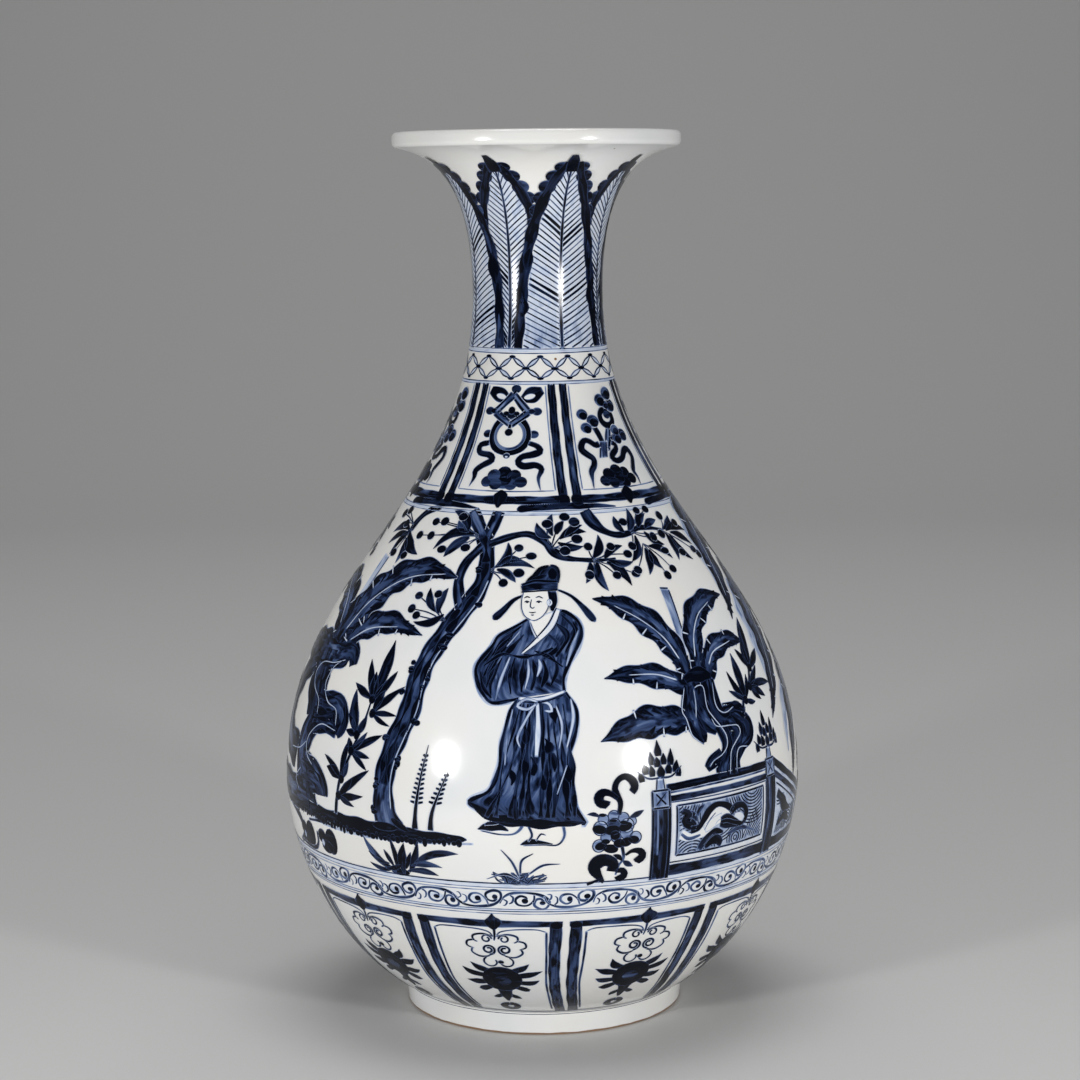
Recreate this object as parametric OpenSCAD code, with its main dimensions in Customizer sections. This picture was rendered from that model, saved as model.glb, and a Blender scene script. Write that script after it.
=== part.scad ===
// Pear-shaped porcelain vase with a flared mouth, built from thrown sections luted together with slip.
// Origin at the centre of the standing rim, +Z up, millimetres.

/* [Mouth] */
// Overall height, from the standing rim to the top of the lip
height = 300; // [285:1:330]
// Diameter over the lip
mouth_d = 97.6; // [84:0.2:114]
// Height of the upright edge of the lip
lip_h = 5.2; // [4:0.1:7]
// Radius of the lip's two outer corners
lip_round = 1.8; // [1:0.1:1.9]
// How far the lip reaches out past the end of the flare
lip_reach = 5.6; // [4:0.1:8]
// Slope of the flare where it runs into the lip, degrees above level
flare_slope = 17; // [10:1:30]

/* [Neck] */
// Outer diameter of the neck at its narrowest
neck_d = 43.6; // [36:0.2:56]
// Height of the narrowest point of the neck
neck_z = 247; // [225:1:265]
// How far below the narrowest point the neck is luted to the body
neck_joint_drop = 21; // [10:1:32]

/* [Body] */
// Outer diameter of the belly at its widest, where its two halves are luted rim to rim
belly_d = 177; // [150:1:200]
// Height of the widest point of the belly
belly_z = 81; // [70:1:95]
// Slope of the wall where it leaves the foot, degrees above level
foot_slope = 30; // [20:1:45]

/* [Foot] */
// Outer diameter of the foot ring where it meets the body
foot_d = 96.8; // [84:0.2:108]
// Height of the foot ring
foot_h = 7.4; // [5:0.1:11]
// How much smaller the radius of the foot ring is at the bottom
foot_taper = 0.8; // [0:0.1:2]
// Width of the flat standing rim
rim_w = 4.8; // [3:0.1:7]
// Size of the knife-cut bevel on both edges of the standing rim
rim_bevel = 0.9; // [0.4:0.1:1.4]
// Extra thickness of the foot ring at its root, on the inside
foot_root = 2; // [0.5:0.1:4]

/* [Walls] */
// Wall just above the foot
foot_wall = 7.5; // [5:0.1:10]
// Wall at the widest point of the belly
belly_wall = 5.2; // [3.5:0.1:7]
// Wall at the narrowest point of the neck
neck_wall = 4.6; // [3:0.1:6]
// Wall at the end of the flare
lip_wall = 4.4; // [3.4:0.1:5]
// Thickness of the floor at the centre, over the joint with the foot
floor_t = 6; // [4.5:0.1:9]
// Depth of the turned recess under the floor
base_recess = 1; // [0.4:0.1:2]

/* [Luting] */
// Thickness of the slip in each joint
slip_t = 0.5; // [0.3:0.1:1]
// Width of the ridge of slip that is smoothed down inside each joint
ridge_w = 9; // [6:0.5:14]
// Height of that ridge above the inner wall
ridge_h = 1.3; // [0.6:0.1:2]
// Size of the slip fillet in the corner under the floor
fillet = 2; // [1:0.1:3]

/* [Roundness] */
// Share of the lower body's height over which the wall keeps its slope at the foot
foot_pull = 0.38; // [0.28:0.01:0.48]
// Share of the lower body's height over which the wall stays upright below the belly
lower_pull = 0.36; // [0.28:0.01:0.5]
// Share of the shoulder's height over which the wall stays upright above the belly
shoulder_pull = 0.42; // [0.32:0.01:0.5]
// Share of the shoulder's height over which the wall stays upright below the neck
neck_pull = 0.44; // [0.32:0.01:0.5]
// Share of the flare's height over which the wall stays upright above the neck
rise_pull = 0.43; // [0.3:0.01:0.55]
// Share of the flare's height over which the wall keeps its slope at the lip
flare_pull = 0.4; // [0.25:0.01:0.45]

/* [Hidden] */
$fn = 96;

// Steps along each section's curve, round a lip corner and over a slip ridge
section_steps = 26;
corner_steps = 5;
ridge_steps = 6;

mouth_r = mouth_d / 2;
neck_r = neck_d / 2;
belly_r = belly_d / 2;
foot_r = foot_d / 2;

// Level of the floor's underside, which stands on the foot ring's slip
base_z = foot_h + slip_t;
floor_z = base_z + floor_t;

// Foot ring's radii: outside at the bottom, inside at the bottom and inside at the root
rim_out_r = foot_r - foot_taper;
rim_in_r = rim_out_r - rim_w - 2 * rim_bevel;
root_in_r = rim_in_r - foot_root;
recess_r = root_in_r - fillet - base_recess;

// End of the flare, in line with the lower corner of the lip
flare_r = mouth_r - lip_reach;
flare_z = height - lip_h - (lip_reach - lip_round) * tan(flare_slope);

// Stations of the outer profile, each a radius and a height
foot_end = [foot_r, base_z];
belly_end = [belly_r, belly_z];
neck_end = [neck_r, neck_z];
flare_end = [flare_r, flare_z];

// Heights of the three legs of the profile
lower_h = belly_z - base_z;
shoulder_h = neck_z - belly_z;
flare_h = flare_z - neck_z;

// Each leg is a cubic curve: its two ends, and between them the two points it is pulled towards
lower_leg = [
    foot_end,
    foot_end + foot_pull * lower_h * [cos(foot_slope), sin(foot_slope)],
    belly_end - [0, lower_pull * lower_h],
    belly_end
];
shoulder_leg = [
    belly_end,
    belly_end + [0, shoulder_pull * shoulder_h],
    neck_end - [0, neck_pull * shoulder_h],
    neck_end
];
flare_leg = [
    neck_end,
    neck_end + [0, rise_pull * flare_h],
    flare_end - flare_pull * flare_h * [cos(flare_slope), sin(flare_slope)],
    flare_end
];
legs = [lower_leg, shoulder_leg, flare_leg];
last_u = len(legs);

// A place on the profile is u: 0 at the foot, 1 at the belly, 2 at the neck, 3 at the end of the flare
function leg(u) = min(floor(u), last_u - 1);
function on_curve(p, t) =
    let (s = 1 - t)
    s * s * s * p[0] + 3 * s * s * t * p[1] + 3 * s * t * t * p[2] + t * t * t * p[3];
function heading(p, t) =
    let (s = 1 - t)
    s * s * (p[1] - p[0]) + 2 * s * t * (p[2] - p[1]) + t * t * (p[3] - p[2]);
function outer(u) = on_curve(legs[leg(u)], u - leg(u));
function normal(u) =
    let (d = heading(legs[leg(u)], u - leg(u)))
    [d[1], -d[0]] / norm(d);

// Points below the outer skin, measured square to the wall
function wall(u) = lookup(u, [[0, foot_wall], [1, belly_wall], [2, neck_wall], [3, lip_wall]]);
function below(u, depth) = outer(u) - depth * normal(u);
function inner(u) = below(u, wall(u));

// The place at a given height, found by halving the range
function u_at(z, low = 0, high = last_u, turns = 40) =
    let (middle = (low + high) / 2)
    turns == 0 ? middle
    : outer(middle)[1] < z ? u_at(z, middle, high, turns - 1)
    : u_at(z, low, middle, turns - 1);

function spread(from, to, steps) = [for (i = [0:steps]) from + (to - from) * i / steps];
function arc(centre, r, from, to) =
    [for (a = spread(from, to, corner_steps)) centre + r * [cos(a), sin(a)]];

// A joint: its lower and upper faces, and the lower and upper edges of its slip ridge
function joint_at(z) = [
    u_at(z - slip_t / 2), u_at(z + slip_t / 2),
    u_at(z - ridge_w / 2), u_at(z + ridge_w / 2)
];
belly_joint = joint_at(belly_z);
neck_joint = joint_at(neck_z - neck_joint_drop);

// Wall of one section over a list of places, up the outside and down the inside
function up_outside(places) = [for (u = places) outer(u)];
function down_inside(places) = [for (i = [len(places) - 1:-1:0]) inner(places[i])];

// Turned ring of the given half section
module turned(section) {
    rotate_extrude() polygon(section);
}

// Slip between two sections, with its ridge on the inner wall
module luting_slip(joint) {
    hump = [
        for (i = [1:ridge_steps - 1])
        let (u = joint[3] + (joint[2] - joint[3]) * i / ridge_steps)
        below(u, wall(u) + ridge_h * sin(180 * i / ridge_steps))
    ];
    turned(concat(
        [outer(joint[0]), outer(joint[1]), inner(joint[1]), inner(joint[3])],
        hump,
        [inner(joint[2]), inner(joint[0])]
    ));
}

// Foot ring with a bevelled, unglazed standing rim
module foot_ring() {
    color("linen") turned([
        [rim_out_r - rim_bevel, 0],
        [rim_out_r, rim_bevel],
        [foot_r, foot_h],
        [root_in_r, foot_h],
        [rim_in_r, rim_bevel],
        [rim_in_r + rim_bevel, 0]
    ]);
}

// Slip between the foot ring and the floor, with a fillet in the inner corner
module foot_slip() {
    fillet_r = root_in_r + foot_root * fillet / (foot_h - rim_bevel);
    color("gainsboro") turned([
        [foot_r, foot_h],
        [foot_r, base_z],
        [root_in_r - fillet, base_z],
        [fillet_r, foot_h - fillet],
        [root_in_r, foot_h]
    ]);
}

// Lower half of the body, thrown as a bowl with its floor
module lower_body() {
    places = concat(spread(0, belly_joint[2], section_steps), [belly_joint[0]]);
    color("whitesmoke") turned(concat(
        up_outside(places),
        down_inside(places),
        [
            [0, floor_z],
            [0, base_z + base_recess],
            [recess_r, base_z + base_recess],
            [recess_r + base_recess, base_z]
        ]
    ));
}

// Slip round the widest point of the belly
module belly_slip() {
    color("gainsboro") luting_slip(belly_joint);
}

// Upper half of the body, from the belly over the shoulder to the neck
module upper_body() {
    curve = spread(belly_joint[3], neck_joint[2], section_steps);
    places = concat([belly_joint[1]], curve, [neck_joint[0]]);
    color("white") turned(concat(up_outside(places), down_inside(places)));
}

// Slip at the base of the neck
module neck_slip() {
    color("gainsboro") luting_slip(neck_joint);
}

// Neck with its flared mouth and rounded upright lip
module neck() {
    places = concat([neck_joint[1]], spread(neck_joint[3], last_u, section_steps));
    corner_r = mouth_r - lip_round;
    color("ghostwhite") turned(concat(
        up_outside(places),
        arc([corner_r, height - lip_h + lip_round], lip_round, -90, 0),
        arc([corner_r, height - lip_round], lip_round, 0, 90),
        down_inside(places)
    ));
}

foot_ring();
foot_slip();
lower_body();
belly_slip();
upper_body();
neck_slip();
neck();
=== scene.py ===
import math

import bpy
import numpy as np
from mathutils import Matrix, Vector


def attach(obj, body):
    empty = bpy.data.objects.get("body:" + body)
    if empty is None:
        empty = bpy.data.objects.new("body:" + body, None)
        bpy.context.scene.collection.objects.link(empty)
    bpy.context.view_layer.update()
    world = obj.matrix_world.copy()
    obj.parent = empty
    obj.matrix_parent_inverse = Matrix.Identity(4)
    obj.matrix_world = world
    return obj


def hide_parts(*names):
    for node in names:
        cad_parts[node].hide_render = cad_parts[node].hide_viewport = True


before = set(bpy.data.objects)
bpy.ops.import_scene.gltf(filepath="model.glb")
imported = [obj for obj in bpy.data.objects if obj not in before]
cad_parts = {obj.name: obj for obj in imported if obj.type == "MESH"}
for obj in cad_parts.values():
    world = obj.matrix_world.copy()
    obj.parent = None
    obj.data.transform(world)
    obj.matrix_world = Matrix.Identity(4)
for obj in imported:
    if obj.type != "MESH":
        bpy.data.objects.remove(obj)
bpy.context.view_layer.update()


# Foot ring
# A low ring of porcelain luted under the floor. Its sides carry the clear glaze, and its standing rim is
# cut with a knife and left bare, so the clay shows there, burnt brown along the edge of the glaze.
# Sizes of the vase are millimetres here, and become metres where a mesh is made.
MM = 0.001
COLUMNS = 256
foot_r = 48.4
foot_h = 7.4
foot_taper = 0.8
rim_w = 4.8
rim_bevel = 0.9
foot_root = 2.0
fillet = 2.0
slip_t = 0.5
base_z = foot_h + slip_t
rim_out_r = foot_r - foot_taper
rim_in_r = rim_out_r - rim_w - 2 * rim_bevel
root_in_r = rim_in_r - foot_root


def turned(name, section, loop=False):
    """Surface of revolution: every (radius, height) of the section is carried round the axis, at
    (r sin t, -r cos t, z) for the turn t. A section that ends on the axis is closed there by a fan."""
    r, z = np.array(section, float).T
    t = np.linspace(0, 2 * np.pi, COLUMNS, endpoint=False)
    points = np.stack([r[:, None] * np.sin(t), -r[:, None] * np.cos(t), z[:, None] + 0 * t], -1)
    index = np.arange(points.size // 3).reshape(len(r), COLUMNS)
    index[r == 0] = index[r == 0][:, :1]
    low, high = (index, np.roll(index, -1, 0)) if loop else (index[:-1], index[1:])
    quads = np.stack([low, np.roll(low, -1, 1), np.roll(high, -1, 1), high], -1).reshape(-1, 4)
    from_axis = quads[:, 0] == quads[:, 1]
    to_axis = quads[:, 2] == quads[:, 3]
    fans = np.vstack([quads[from_axis][:, [0, 2, 3]], quads[to_axis][:, [0, 1, 2]]])
    quads = quads[~from_axis & ~to_axis]
    used = np.unique(np.concatenate([quads.ravel(), fans.ravel()]))
    place = np.zeros(points.size // 3, int)
    place[used] = np.arange(len(used))
    mesh = bpy.data.meshes.new(name)
    faces = place[quads].tolist() + place[fans].tolist()
    mesh.from_pydata((points.reshape(-1, 3)[used] * MM).tolist(), [], faces)
    mesh.polygons.foreach_set("use_smooth", np.ones(len(faces), bool))
    mesh.set_sharp_from_angle(angle=math.radians(32))
    piece = bpy.data.objects.new(name, mesh)
    bpy.context.collection.objects.link(piece)
    return piece


def new_finish(name):
    """A new node material, with its nodes, its links and its shader."""
    finish = bpy.data.materials.new(name)
    finish.use_nodes = True
    tree = finish.node_tree
    return finish, tree.nodes, tree.links, tree.nodes["Principled BSDF"]


def add_noise(nodes, links, vector, scale, detail=2.0):
    """A noise pattern on the given coordinates."""
    noise = nodes.new("ShaderNodeTexNoise")
    noise.inputs["Scale"].default_value = scale
    noise.inputs["Detail"].default_value = detail
    links.new(vector, noise.inputs["Vector"])
    return noise.outputs["Fac"]


def add_ramp(nodes, links, value, stops):
    """A colour for each value, blended between the given stops."""
    ramp = nodes.new("ShaderNodeValToRGB")
    ramp.color_ramp.elements.remove(ramp.color_ramp.elements[1])
    ramp.color_ramp.elements[0].position = stops[0][0]
    ramp.color_ramp.elements[0].color = (*stops[0][1], 1)
    for position, colour in stops[1:]:
        ramp.color_ramp.elements.new(position).color = (*colour, 1)
    links.new(value, ramp.inputs["Fac"])
    return ramp.outputs["Color"]


def add_math(nodes, links, operation, *values):
    """One arithmetic step; a value is a number or another node's output."""
    step = nodes.new("ShaderNodeMath")
    step.operation = operation
    for socket, value in zip(step.inputs, values):
        if isinstance(value, (int, float)):
            socket.default_value = value
        else:
            links.new(value, socket)
    return step.outputs["Value"]


def add_colour_mix(nodes, links, share, first, second):
    """Two colours blended by a share; sockets 6, 7 and 2 are the colour ones of the node."""
    mix = nodes.new("ShaderNodeMix")
    mix.data_type = "RGBA"
    links.new(share, mix.inputs["Factor"])
    for socket, value in ((mix.inputs[6], first), (mix.inputs[7], second)):
        if isinstance(value, tuple):
            socket.default_value = (*value, 1)
        else:
            links.new(value, socket)
    return mix.outputs[2]


porcelain_white = (0.765, 0.762, 0.745)
porcelain_cool = (0.71, 0.727, 0.734)
porcelain_warm = (0.768, 0.745, 0.697)
iron_speck = (0.22, 0.12, 0.05)
speck_size = 0.022
biscuit = (0.36, 0.22, 0.12)
burnt_edge = (0.13, 0.06, 0.025)
glaze_line = (-0.3, 0.7)
glaze_waver = 0.8


def glaze_colour(nodes, links, place):
    """Clear glaze over white clay: warm and cool clouds, and a few iron specks."""
    cloud = add_noise(nodes, links, place, scale=22, detail=3)
    white = add_ramp(nodes, links, cloud, [
        (0.30, porcelain_cool), (0.52, porcelain_white), (0.75, porcelain_warm)
    ])
    cells = nodes.new("ShaderNodeTexVoronoi")
    cells.inputs["Scale"].default_value = 48
    links.new(place, cells.inputs["Vector"])
    speck = add_math(nodes, links, "LESS_THAN", cells.outputs["Distance"], speck_size)
    return add_colour_mix(nodes, links, speck, white, iron_speck)


def add_glaze_surface(nodes, links, shader, place):
    """Gloss of the glaze, with the soft unevenness of a dipped coat over throwing rings."""
    shader.inputs["IOR"].default_value = 1.5
    gloss = nodes.new("ShaderNodeMapRange")
    links.new(add_noise(nodes, links, place, scale=60), gloss.inputs["Value"])
    gloss.inputs["To Min"].default_value = 0.1
    gloss.inputs["To Max"].default_value = 0.2
    links.new(gloss.outputs["Result"], shader.inputs["Roughness"])
    rings = nodes.new("ShaderNodeTexWave")
    rings.bands_direction = "Z"
    rings.inputs["Scale"].default_value = 28
    rings.inputs["Distortion"].default_value = 3.0
    rings.inputs["Detail"].default_value = 1.0
    links.new(place, rings.inputs["Vector"])
    swell = add_math(nodes, links, "MULTIPLY_ADD", rings.outputs["Fac"], 0.35,
                     add_noise(nodes, links, place, scale=90))
    bump = nodes.new("ShaderNodeBump")
    bump.inputs["Strength"].default_value = 0.35
    bump.inputs["Distance"].default_value = 0.00008
    links.new(swell, bump.inputs["Height"])
    links.new(bump.outputs["Normal"], shader.inputs["Normal"])


def make_foot_finish():
    """Glaze above an uneven line near the rim, a burnt edge at that line, bare clay below it."""
    finish, nodes, links, shader = new_finish("foot_glaze_and_bare_rim")
    place = nodes.new("ShaderNodeTexCoord").outputs["Object"]
    split = nodes.new("ShaderNodeSeparateXYZ")
    links.new(place, split.inputs["Vector"])
    waver = add_noise(nodes, links, place, scale=130, detail=3)
    level = add_math(nodes, links, "MULTIPLY_ADD", waver, -glaze_waver * MM, split.outputs["Z"])
    share = nodes.new("ShaderNodeMapRange")
    share.inputs["From Min"].default_value = glaze_line[0] * MM
    share.inputs["From Max"].default_value = glaze_line[1] * MM
    links.new(level, share.inputs["Value"])
    clay = add_ramp(nodes, links, share.outputs["Result"], [
        (0.25, biscuit), (0.55, burnt_edge), (0.9, porcelain_warm)
    ])
    glazed = add_math(nodes, links, "GREATER_THAN", share.outputs["Result"], 0.86)
    colour = add_colour_mix(nodes, links, glazed, clay, glaze_colour(nodes, links, place))
    links.new(colour, shader.inputs["Base Color"])
    add_glaze_surface(nodes, links, shader, place)
    rough = add_ramp(nodes, links, share.outputs["Result"], [(0.8, (0.7,) * 3), (0.95, (0.12,) * 3)])
    links.new(rough, shader.inputs["Roughness"])
    return finish


fillet_r = root_in_r + foot_root * fillet / (foot_h - rim_bevel)
fillet_hollow = 0.4 * fillet
rim_edge = 0.2
side_foot = (rim_out_r + 0.1, 2)
round_in = np.linspace(0, np.pi / 2, 7)
foot = turned("foot_ring_glazed", [
    (rim_in_r + rim_bevel, 0),
    *np.linspace((rim_in_r + rim_bevel + rim_edge, 0), (rim_out_r - rim_bevel - rim_edge, 0), 8),
    *zip(rim_out_r - rim_bevel * (1 - np.sin(round_in)), rim_bevel * (1 - np.cos(round_in))),
    *np.linspace(side_foot, (foot_r, foot_h), 8),
    (foot_r, base_z),
    (root_in_r - fillet, base_z),
    (root_in_r - fillet_hollow, base_z - fillet_hollow),
    (fillet_r, foot_h - fillet),
    (rim_in_r, rim_bevel),
], loop=True)
foot.data.materials.append(make_foot_finish())
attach(foot, "root")
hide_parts("foot_ring", "foot_slip")


# Lower body
# A bowl thrown with its floor and turned on the wheel, from the foot up to the widest point of the belly.
# The underside of the floor is a shallow turned recess inside the foot ring.
belly_r = 88.5
belly_z = 81.0
foot_wall = 7.5
belly_wall = 5.2
foot_slope = 30
foot_pull = 0.38
lower_pull = 0.36
floor_t = 6.0
floor_z = base_z + floor_t
base_recess = 1.0
recess_r = root_in_r - fillet - base_recess
fan_r = 6.0
lower_h = belly_z - base_z


def slope_of(degrees):
    """A step of one unit at an angle above level, as (radius, height)."""
    return np.array([math.cos(math.radians(degrees)), math.sin(math.radians(degrees))])


def pulled(start, start_pull, end_pull, end, t, walls):
    """Cubic curve that leaves start towards one point and reaches end from another, and the inner skin
    that lies the wall's thickness below it, measured square to the curve."""
    start, start_pull, end_pull, end = (np.array(p, float) for p in (start, start_pull, end_pull, end))
    t = t[:, None]
    s = 1 - t
    outer = s**3 * start + 3 * s * s * t * start_pull + 3 * s * t * t * end_pull + t**3 * end
    d = s * s * (start_pull - start) + 2 * s * t * (end_pull - start_pull) + t * t * (end - end_pull)
    normal = np.stack([d[:, 1], -d[:, 0]], 1) / np.linalg.norm(d, axis=1)[:, None]
    return outer, outer - (s * walls[0] + t * walls[1]) * normal


ridge_w = 9.0
ridge_h = 1.3


def with_ridge(inner, joint_z):
    """The inner skin with the slip of a joint raised on it as one smooth wave, ridge_w wide."""
    share = np.clip((inner[:, 1] - joint_z) / ridge_w + 0.5, 0, 1)
    return inner - np.stack([ridge_h * np.sin(np.pi * share) ** 2, 0 * share], 1)


lower_outer, lower_inner = pulled(
    (foot_r, base_z),
    (foot_r, base_z) + foot_pull * lower_h * slope_of(foot_slope),
    (belly_r, belly_z - lower_pull * lower_h),
    (belly_r, belly_z),
    np.linspace(0, 1, 100), (foot_wall, belly_wall)
)
lower_inner = with_ridge(lower_inner, belly_z)


def make_porcelain():
    """The glazed white of the body."""
    finish, nodes, links, shader = new_finish("clear_glaze_on_porcelain")
    place = nodes.new("ShaderNodeTexCoord").outputs["Object"]
    links.new(glaze_colour(nodes, links, place), shader.inputs["Base Color"])
    add_glaze_surface(nodes, links, shader, place)
    return finish


porcelain = make_porcelain()
lower_body = turned("lower_body_glazed", [
    (0, base_z + base_recess),
    *np.linspace((fan_r, base_z + base_recess), (recess_r, base_z + base_recess), 6),
    (recess_r + base_recess, base_z),
    *lower_outer,
    *lower_inner[::-1],
    *np.linspace(lower_inner[0], (fan_r, floor_z), 12)[1:],
    (0, floor_z),
])
lower_body.data.materials.append(porcelain)
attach(lower_body, "root")
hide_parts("lower_body")


# Upper body
# A second bowl, thrown to match and luted upside down on the first, drawn in over the shoulder to the neck.
# The slip that was squeezed out of the joint is smoothed down to a low ridge inside.
neck_r = 21.8
neck_z = 247.0
neck_wall = 4.6
shoulder_pull = 0.42
neck_pull = 0.44
shoulder_h = neck_z - belly_z
neck_joint_drop = 21.0
neck_joint_z = neck_z - neck_joint_drop
shoulder_outer, shoulder_inner = pulled(
    (belly_r, belly_z),
    (belly_r, belly_z + shoulder_pull * shoulder_h),
    (neck_r, neck_z - neck_pull * shoulder_h),
    (neck_r, neck_z),
    np.linspace(0, 1, 180), (belly_wall, neck_wall)
)
shoulder_inner = with_ridge(with_ridge(shoulder_inner, belly_z), neck_joint_z)
joint_row = np.searchsorted(shoulder_outer[:, 1], neck_joint_z)
upper_body = turned("upper_body_glazed", [
    *shoulder_outer[:joint_row + 1], *shoulder_inner[joint_row::-1]
], loop=True)
upper_body.data.materials.append(porcelain)
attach(upper_body, "root")
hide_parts("upper_body", "belly_slip")


# Neck and mouth
# The third thrown section: a slender neck that opens into a trumpet mouth and ends in an upright, rounded
# lip. It is luted to the shoulder with slip, like the halves of the body.
height = 300.0
mouth_r = 48.8
lip_h = 5.2
lip_round = 1.8
lip_reach = 5.6
lip_wall = 4.4
flare_slope = 17
rise_pull = 0.43
flare_pull = 0.4
flare_r = mouth_r - lip_reach
flare_z = height - lip_h - (lip_reach - lip_round) * math.tan(math.radians(flare_slope))
flare_h = flare_z - neck_z
flare_outer, flare_inner = pulled(
    (neck_r, neck_z),
    (neck_r, neck_z + rise_pull * flare_h),
    (flare_r, flare_z) - flare_pull * flare_h * slope_of(flare_slope),
    (flare_r, flare_z),
    np.linspace(0, 1, 100), (neck_wall, lip_wall)
)
quarter = np.radians(np.linspace(-90, 0, 9))
lip_corner = lip_round * np.stack([np.cos(quarter), np.sin(quarter)], 1)
lip_centre_r = mouth_r - lip_round
lip = np.vstack([
    (lip_centre_r, height - lip_h + lip_round) + lip_corner,
    (lip_centre_r, height - lip_round) + lip_corner[::-1] * (1, -1),
])
lip_dip = np.linspace(lip[-1], flare_inner[-1], 6)[1:-1]
neck = turned("neck_and_mouth_glazed", [
    *shoulder_outer[joint_row:], *flare_outer[1:],
    *lip, *lip_dip,
    *flare_inner[:0:-1], *shoulder_inner[:joint_row - 1:-1],
], loop=True)
neck.data.materials.append(porcelain)
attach(neck, "root")
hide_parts("neck", "neck_slip")


# Ring lines
# Thin lines of cobalt, drawn while the vase turned on the wheel, part the painted bands. Every mark of the
# painting is a brush stroke on the wall: a path of (turn in degrees, height, width), with turn 0 in front.
wall_line = np.vstack([lower_outer, shoulder_outer[1:], flare_outer[1:]])
wall_slope = np.gradient(wall_line[:, 0]) / np.gradient(wall_line[:, 1])
hand = np.random.default_rng(7)


def wall_at(z):
    """Radius of the outer wall at a height, and how far the wall runs for each step of height."""
    return np.interp(z, *wall_line.T[::-1]), np.hypot(1, np.interp(z, wall_line[:, 1], wall_slope))


curve_steps = 12


def through(rows, spacing, count=0):
    """Smooth curve through the rows (a cubic between each two, headed along their neighbours), with the
    points evenly spaced along the wall."""
    rows = np.array(rows, float)
    ends = np.vstack([2 * rows[0] - rows[1], rows, 2 * rows[-1] - rows[-2]])
    t = np.linspace(0, len(rows) - 1, curve_steps * (len(rows) - 1) + 1)
    i = np.minimum(t.astype(int), len(rows) - 2)
    f = (t - i)[:, None]
    p0, p1, p2, p3 = (ends[i + k] for k in range(4))
    curve = p1 + f / 2 * (p2 - p0 + f * (2 * p0 - 5 * p1 + 4 * p2 - p3 + f * (3 * p1 - p0 - 3 * p2 + p3)))
    r, run = wall_at(curve[:, 1])
    step = np.hypot(np.diff(np.radians(curve[:, 0])) * r[1:], np.diff(curve[:, 1]) * run[1:])
    way = np.concatenate([[0], np.cumsum(step)])
    even = np.linspace(0, way[-1], count or max(5, int(way[-1] / spacing) + 2))
    return np.stack([np.interp(even, way, column) for column in curve.T], 1)


thin_half = 0.6
border_limits = (0.3, 2.3)
least_inside = 0.3
column_width = 1.4
end_cover = 0.4


def between(left, right, tone, ground=0.0, lift=1, soft=0.28):
    """Painted patch between two edges: each pair of edge points is joined straight across. Cobalt covers
    all but a soft border, which is in proportion to a thin patch and grows slowly with a broad one. Tone
    runs along the patch from its first to its last value."""
    r, run = wall_at((left[:, 1] + right[:, 1]) / 2)
    half = np.hypot(np.radians(left[:, 0] - right[:, 0]) * r, (left[:, 1] - right[:, 1]) * run) / 2
    border = soft * np.clip(np.minimum(half / thin_half, 0.9 + 0.3 * half), *border_limits)
    inside = np.clip(1 - border / np.maximum(half, 1e-6), least_inside, 1)[:, None]
    columns = max(2, int(2 * half.max() / column_width) + 1)
    flat = np.linspace(-1, 1, columns) * inside
    side = np.ones_like(inside)
    a = np.hstack([-side, flat, side])
    grid = right[:, None] * (1 - a[..., None]) / 2 + left[:, None] * (1 + a[..., None]) / 2
    cover = np.ones_like(a)
    cover[:, [0, -1]] = 0
    cover[[0, -1]] *= end_cover
    middle = (left + right) / 2
    step = np.hypot(np.diff(np.radians(middle[:, 0])) * r[1:], np.diff(middle[:, 1]) * run[1:])
    way = np.concatenate([[0], np.cumsum(step)])
    tones = np.interp(way, np.linspace(0, way[-1], np.size(tone)), np.atleast_1d(tone))
    return {
        "turn": grid[..., 0], "z": grid[..., 1], "lift": lift,
        "tone": tones[:, None] + 0 * a, "ground": ground + 0 * a, "cover": cover,
        "across": a * half[:, None], "along": way[:, None] + 0 * a, "seed": hand.uniform(0, 400),
    }


least_width = 0.05
press_length = 1.7


def ribbon(path, spacing):
    """The smooth path, and for each of its points the step to the left border of its width."""
    rows = through(path, spacing)
    r, run = wall_at(rows[:, 1])
    u = np.gradient(np.radians(rows[:, 0])) * r
    v = np.gradient(rows[:, 1]) * run
    half = np.maximum(rows[:, 2], least_width) / 2 / np.maximum(np.hypot(u, v), 1e-9)
    return rows, np.stack([np.degrees(-v * half / r), u * half / run], 1)


def stroke(path, tone, ground=0.0, lift=1, soft=0.28, uneven=0.08, spacing=0.8):
    """Brush stroke: the path's width is laid off to both sides, square to the way the brush goes, and
    swells and shrinks a little with the press of the hand."""
    rows, side = ribbon(path, spacing)
    press = np.sin(np.arange(len(rows)) * spacing / press_length + hand.uniform(0, 6))
    side = side * (1 + uneven * press)[:, None]
    return between(rows[:, :2] + side, rows[:, :2] - side, tone, ground, lift, soft)


def beside(path, share, width, spacing=1.6):
    """A path that runs beside another, at a share of its half width to the left. Where that one is thin,
    the new path takes a little under half its width, but at least a quarter of a millimetre."""
    rows, side = ribbon(path, spacing)
    widths = np.minimum(width, np.maximum(0.45 * rows[:, 2], 0.25))
    return np.column_stack([rows[:, :2] + share * side, widths])


cobalt_tones = [
    (0.00, porcelain_white),
    (0.13, (0.535, 0.605, 0.735)),
    (0.33, (0.17, 0.235, 0.40)),
    (0.55, (0.034, 0.062, 0.155)),
    (0.76, (0.0078, 0.0155, 0.046)),
    (1.00, (0.0012, 0.0022, 0.006)),
]


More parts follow.
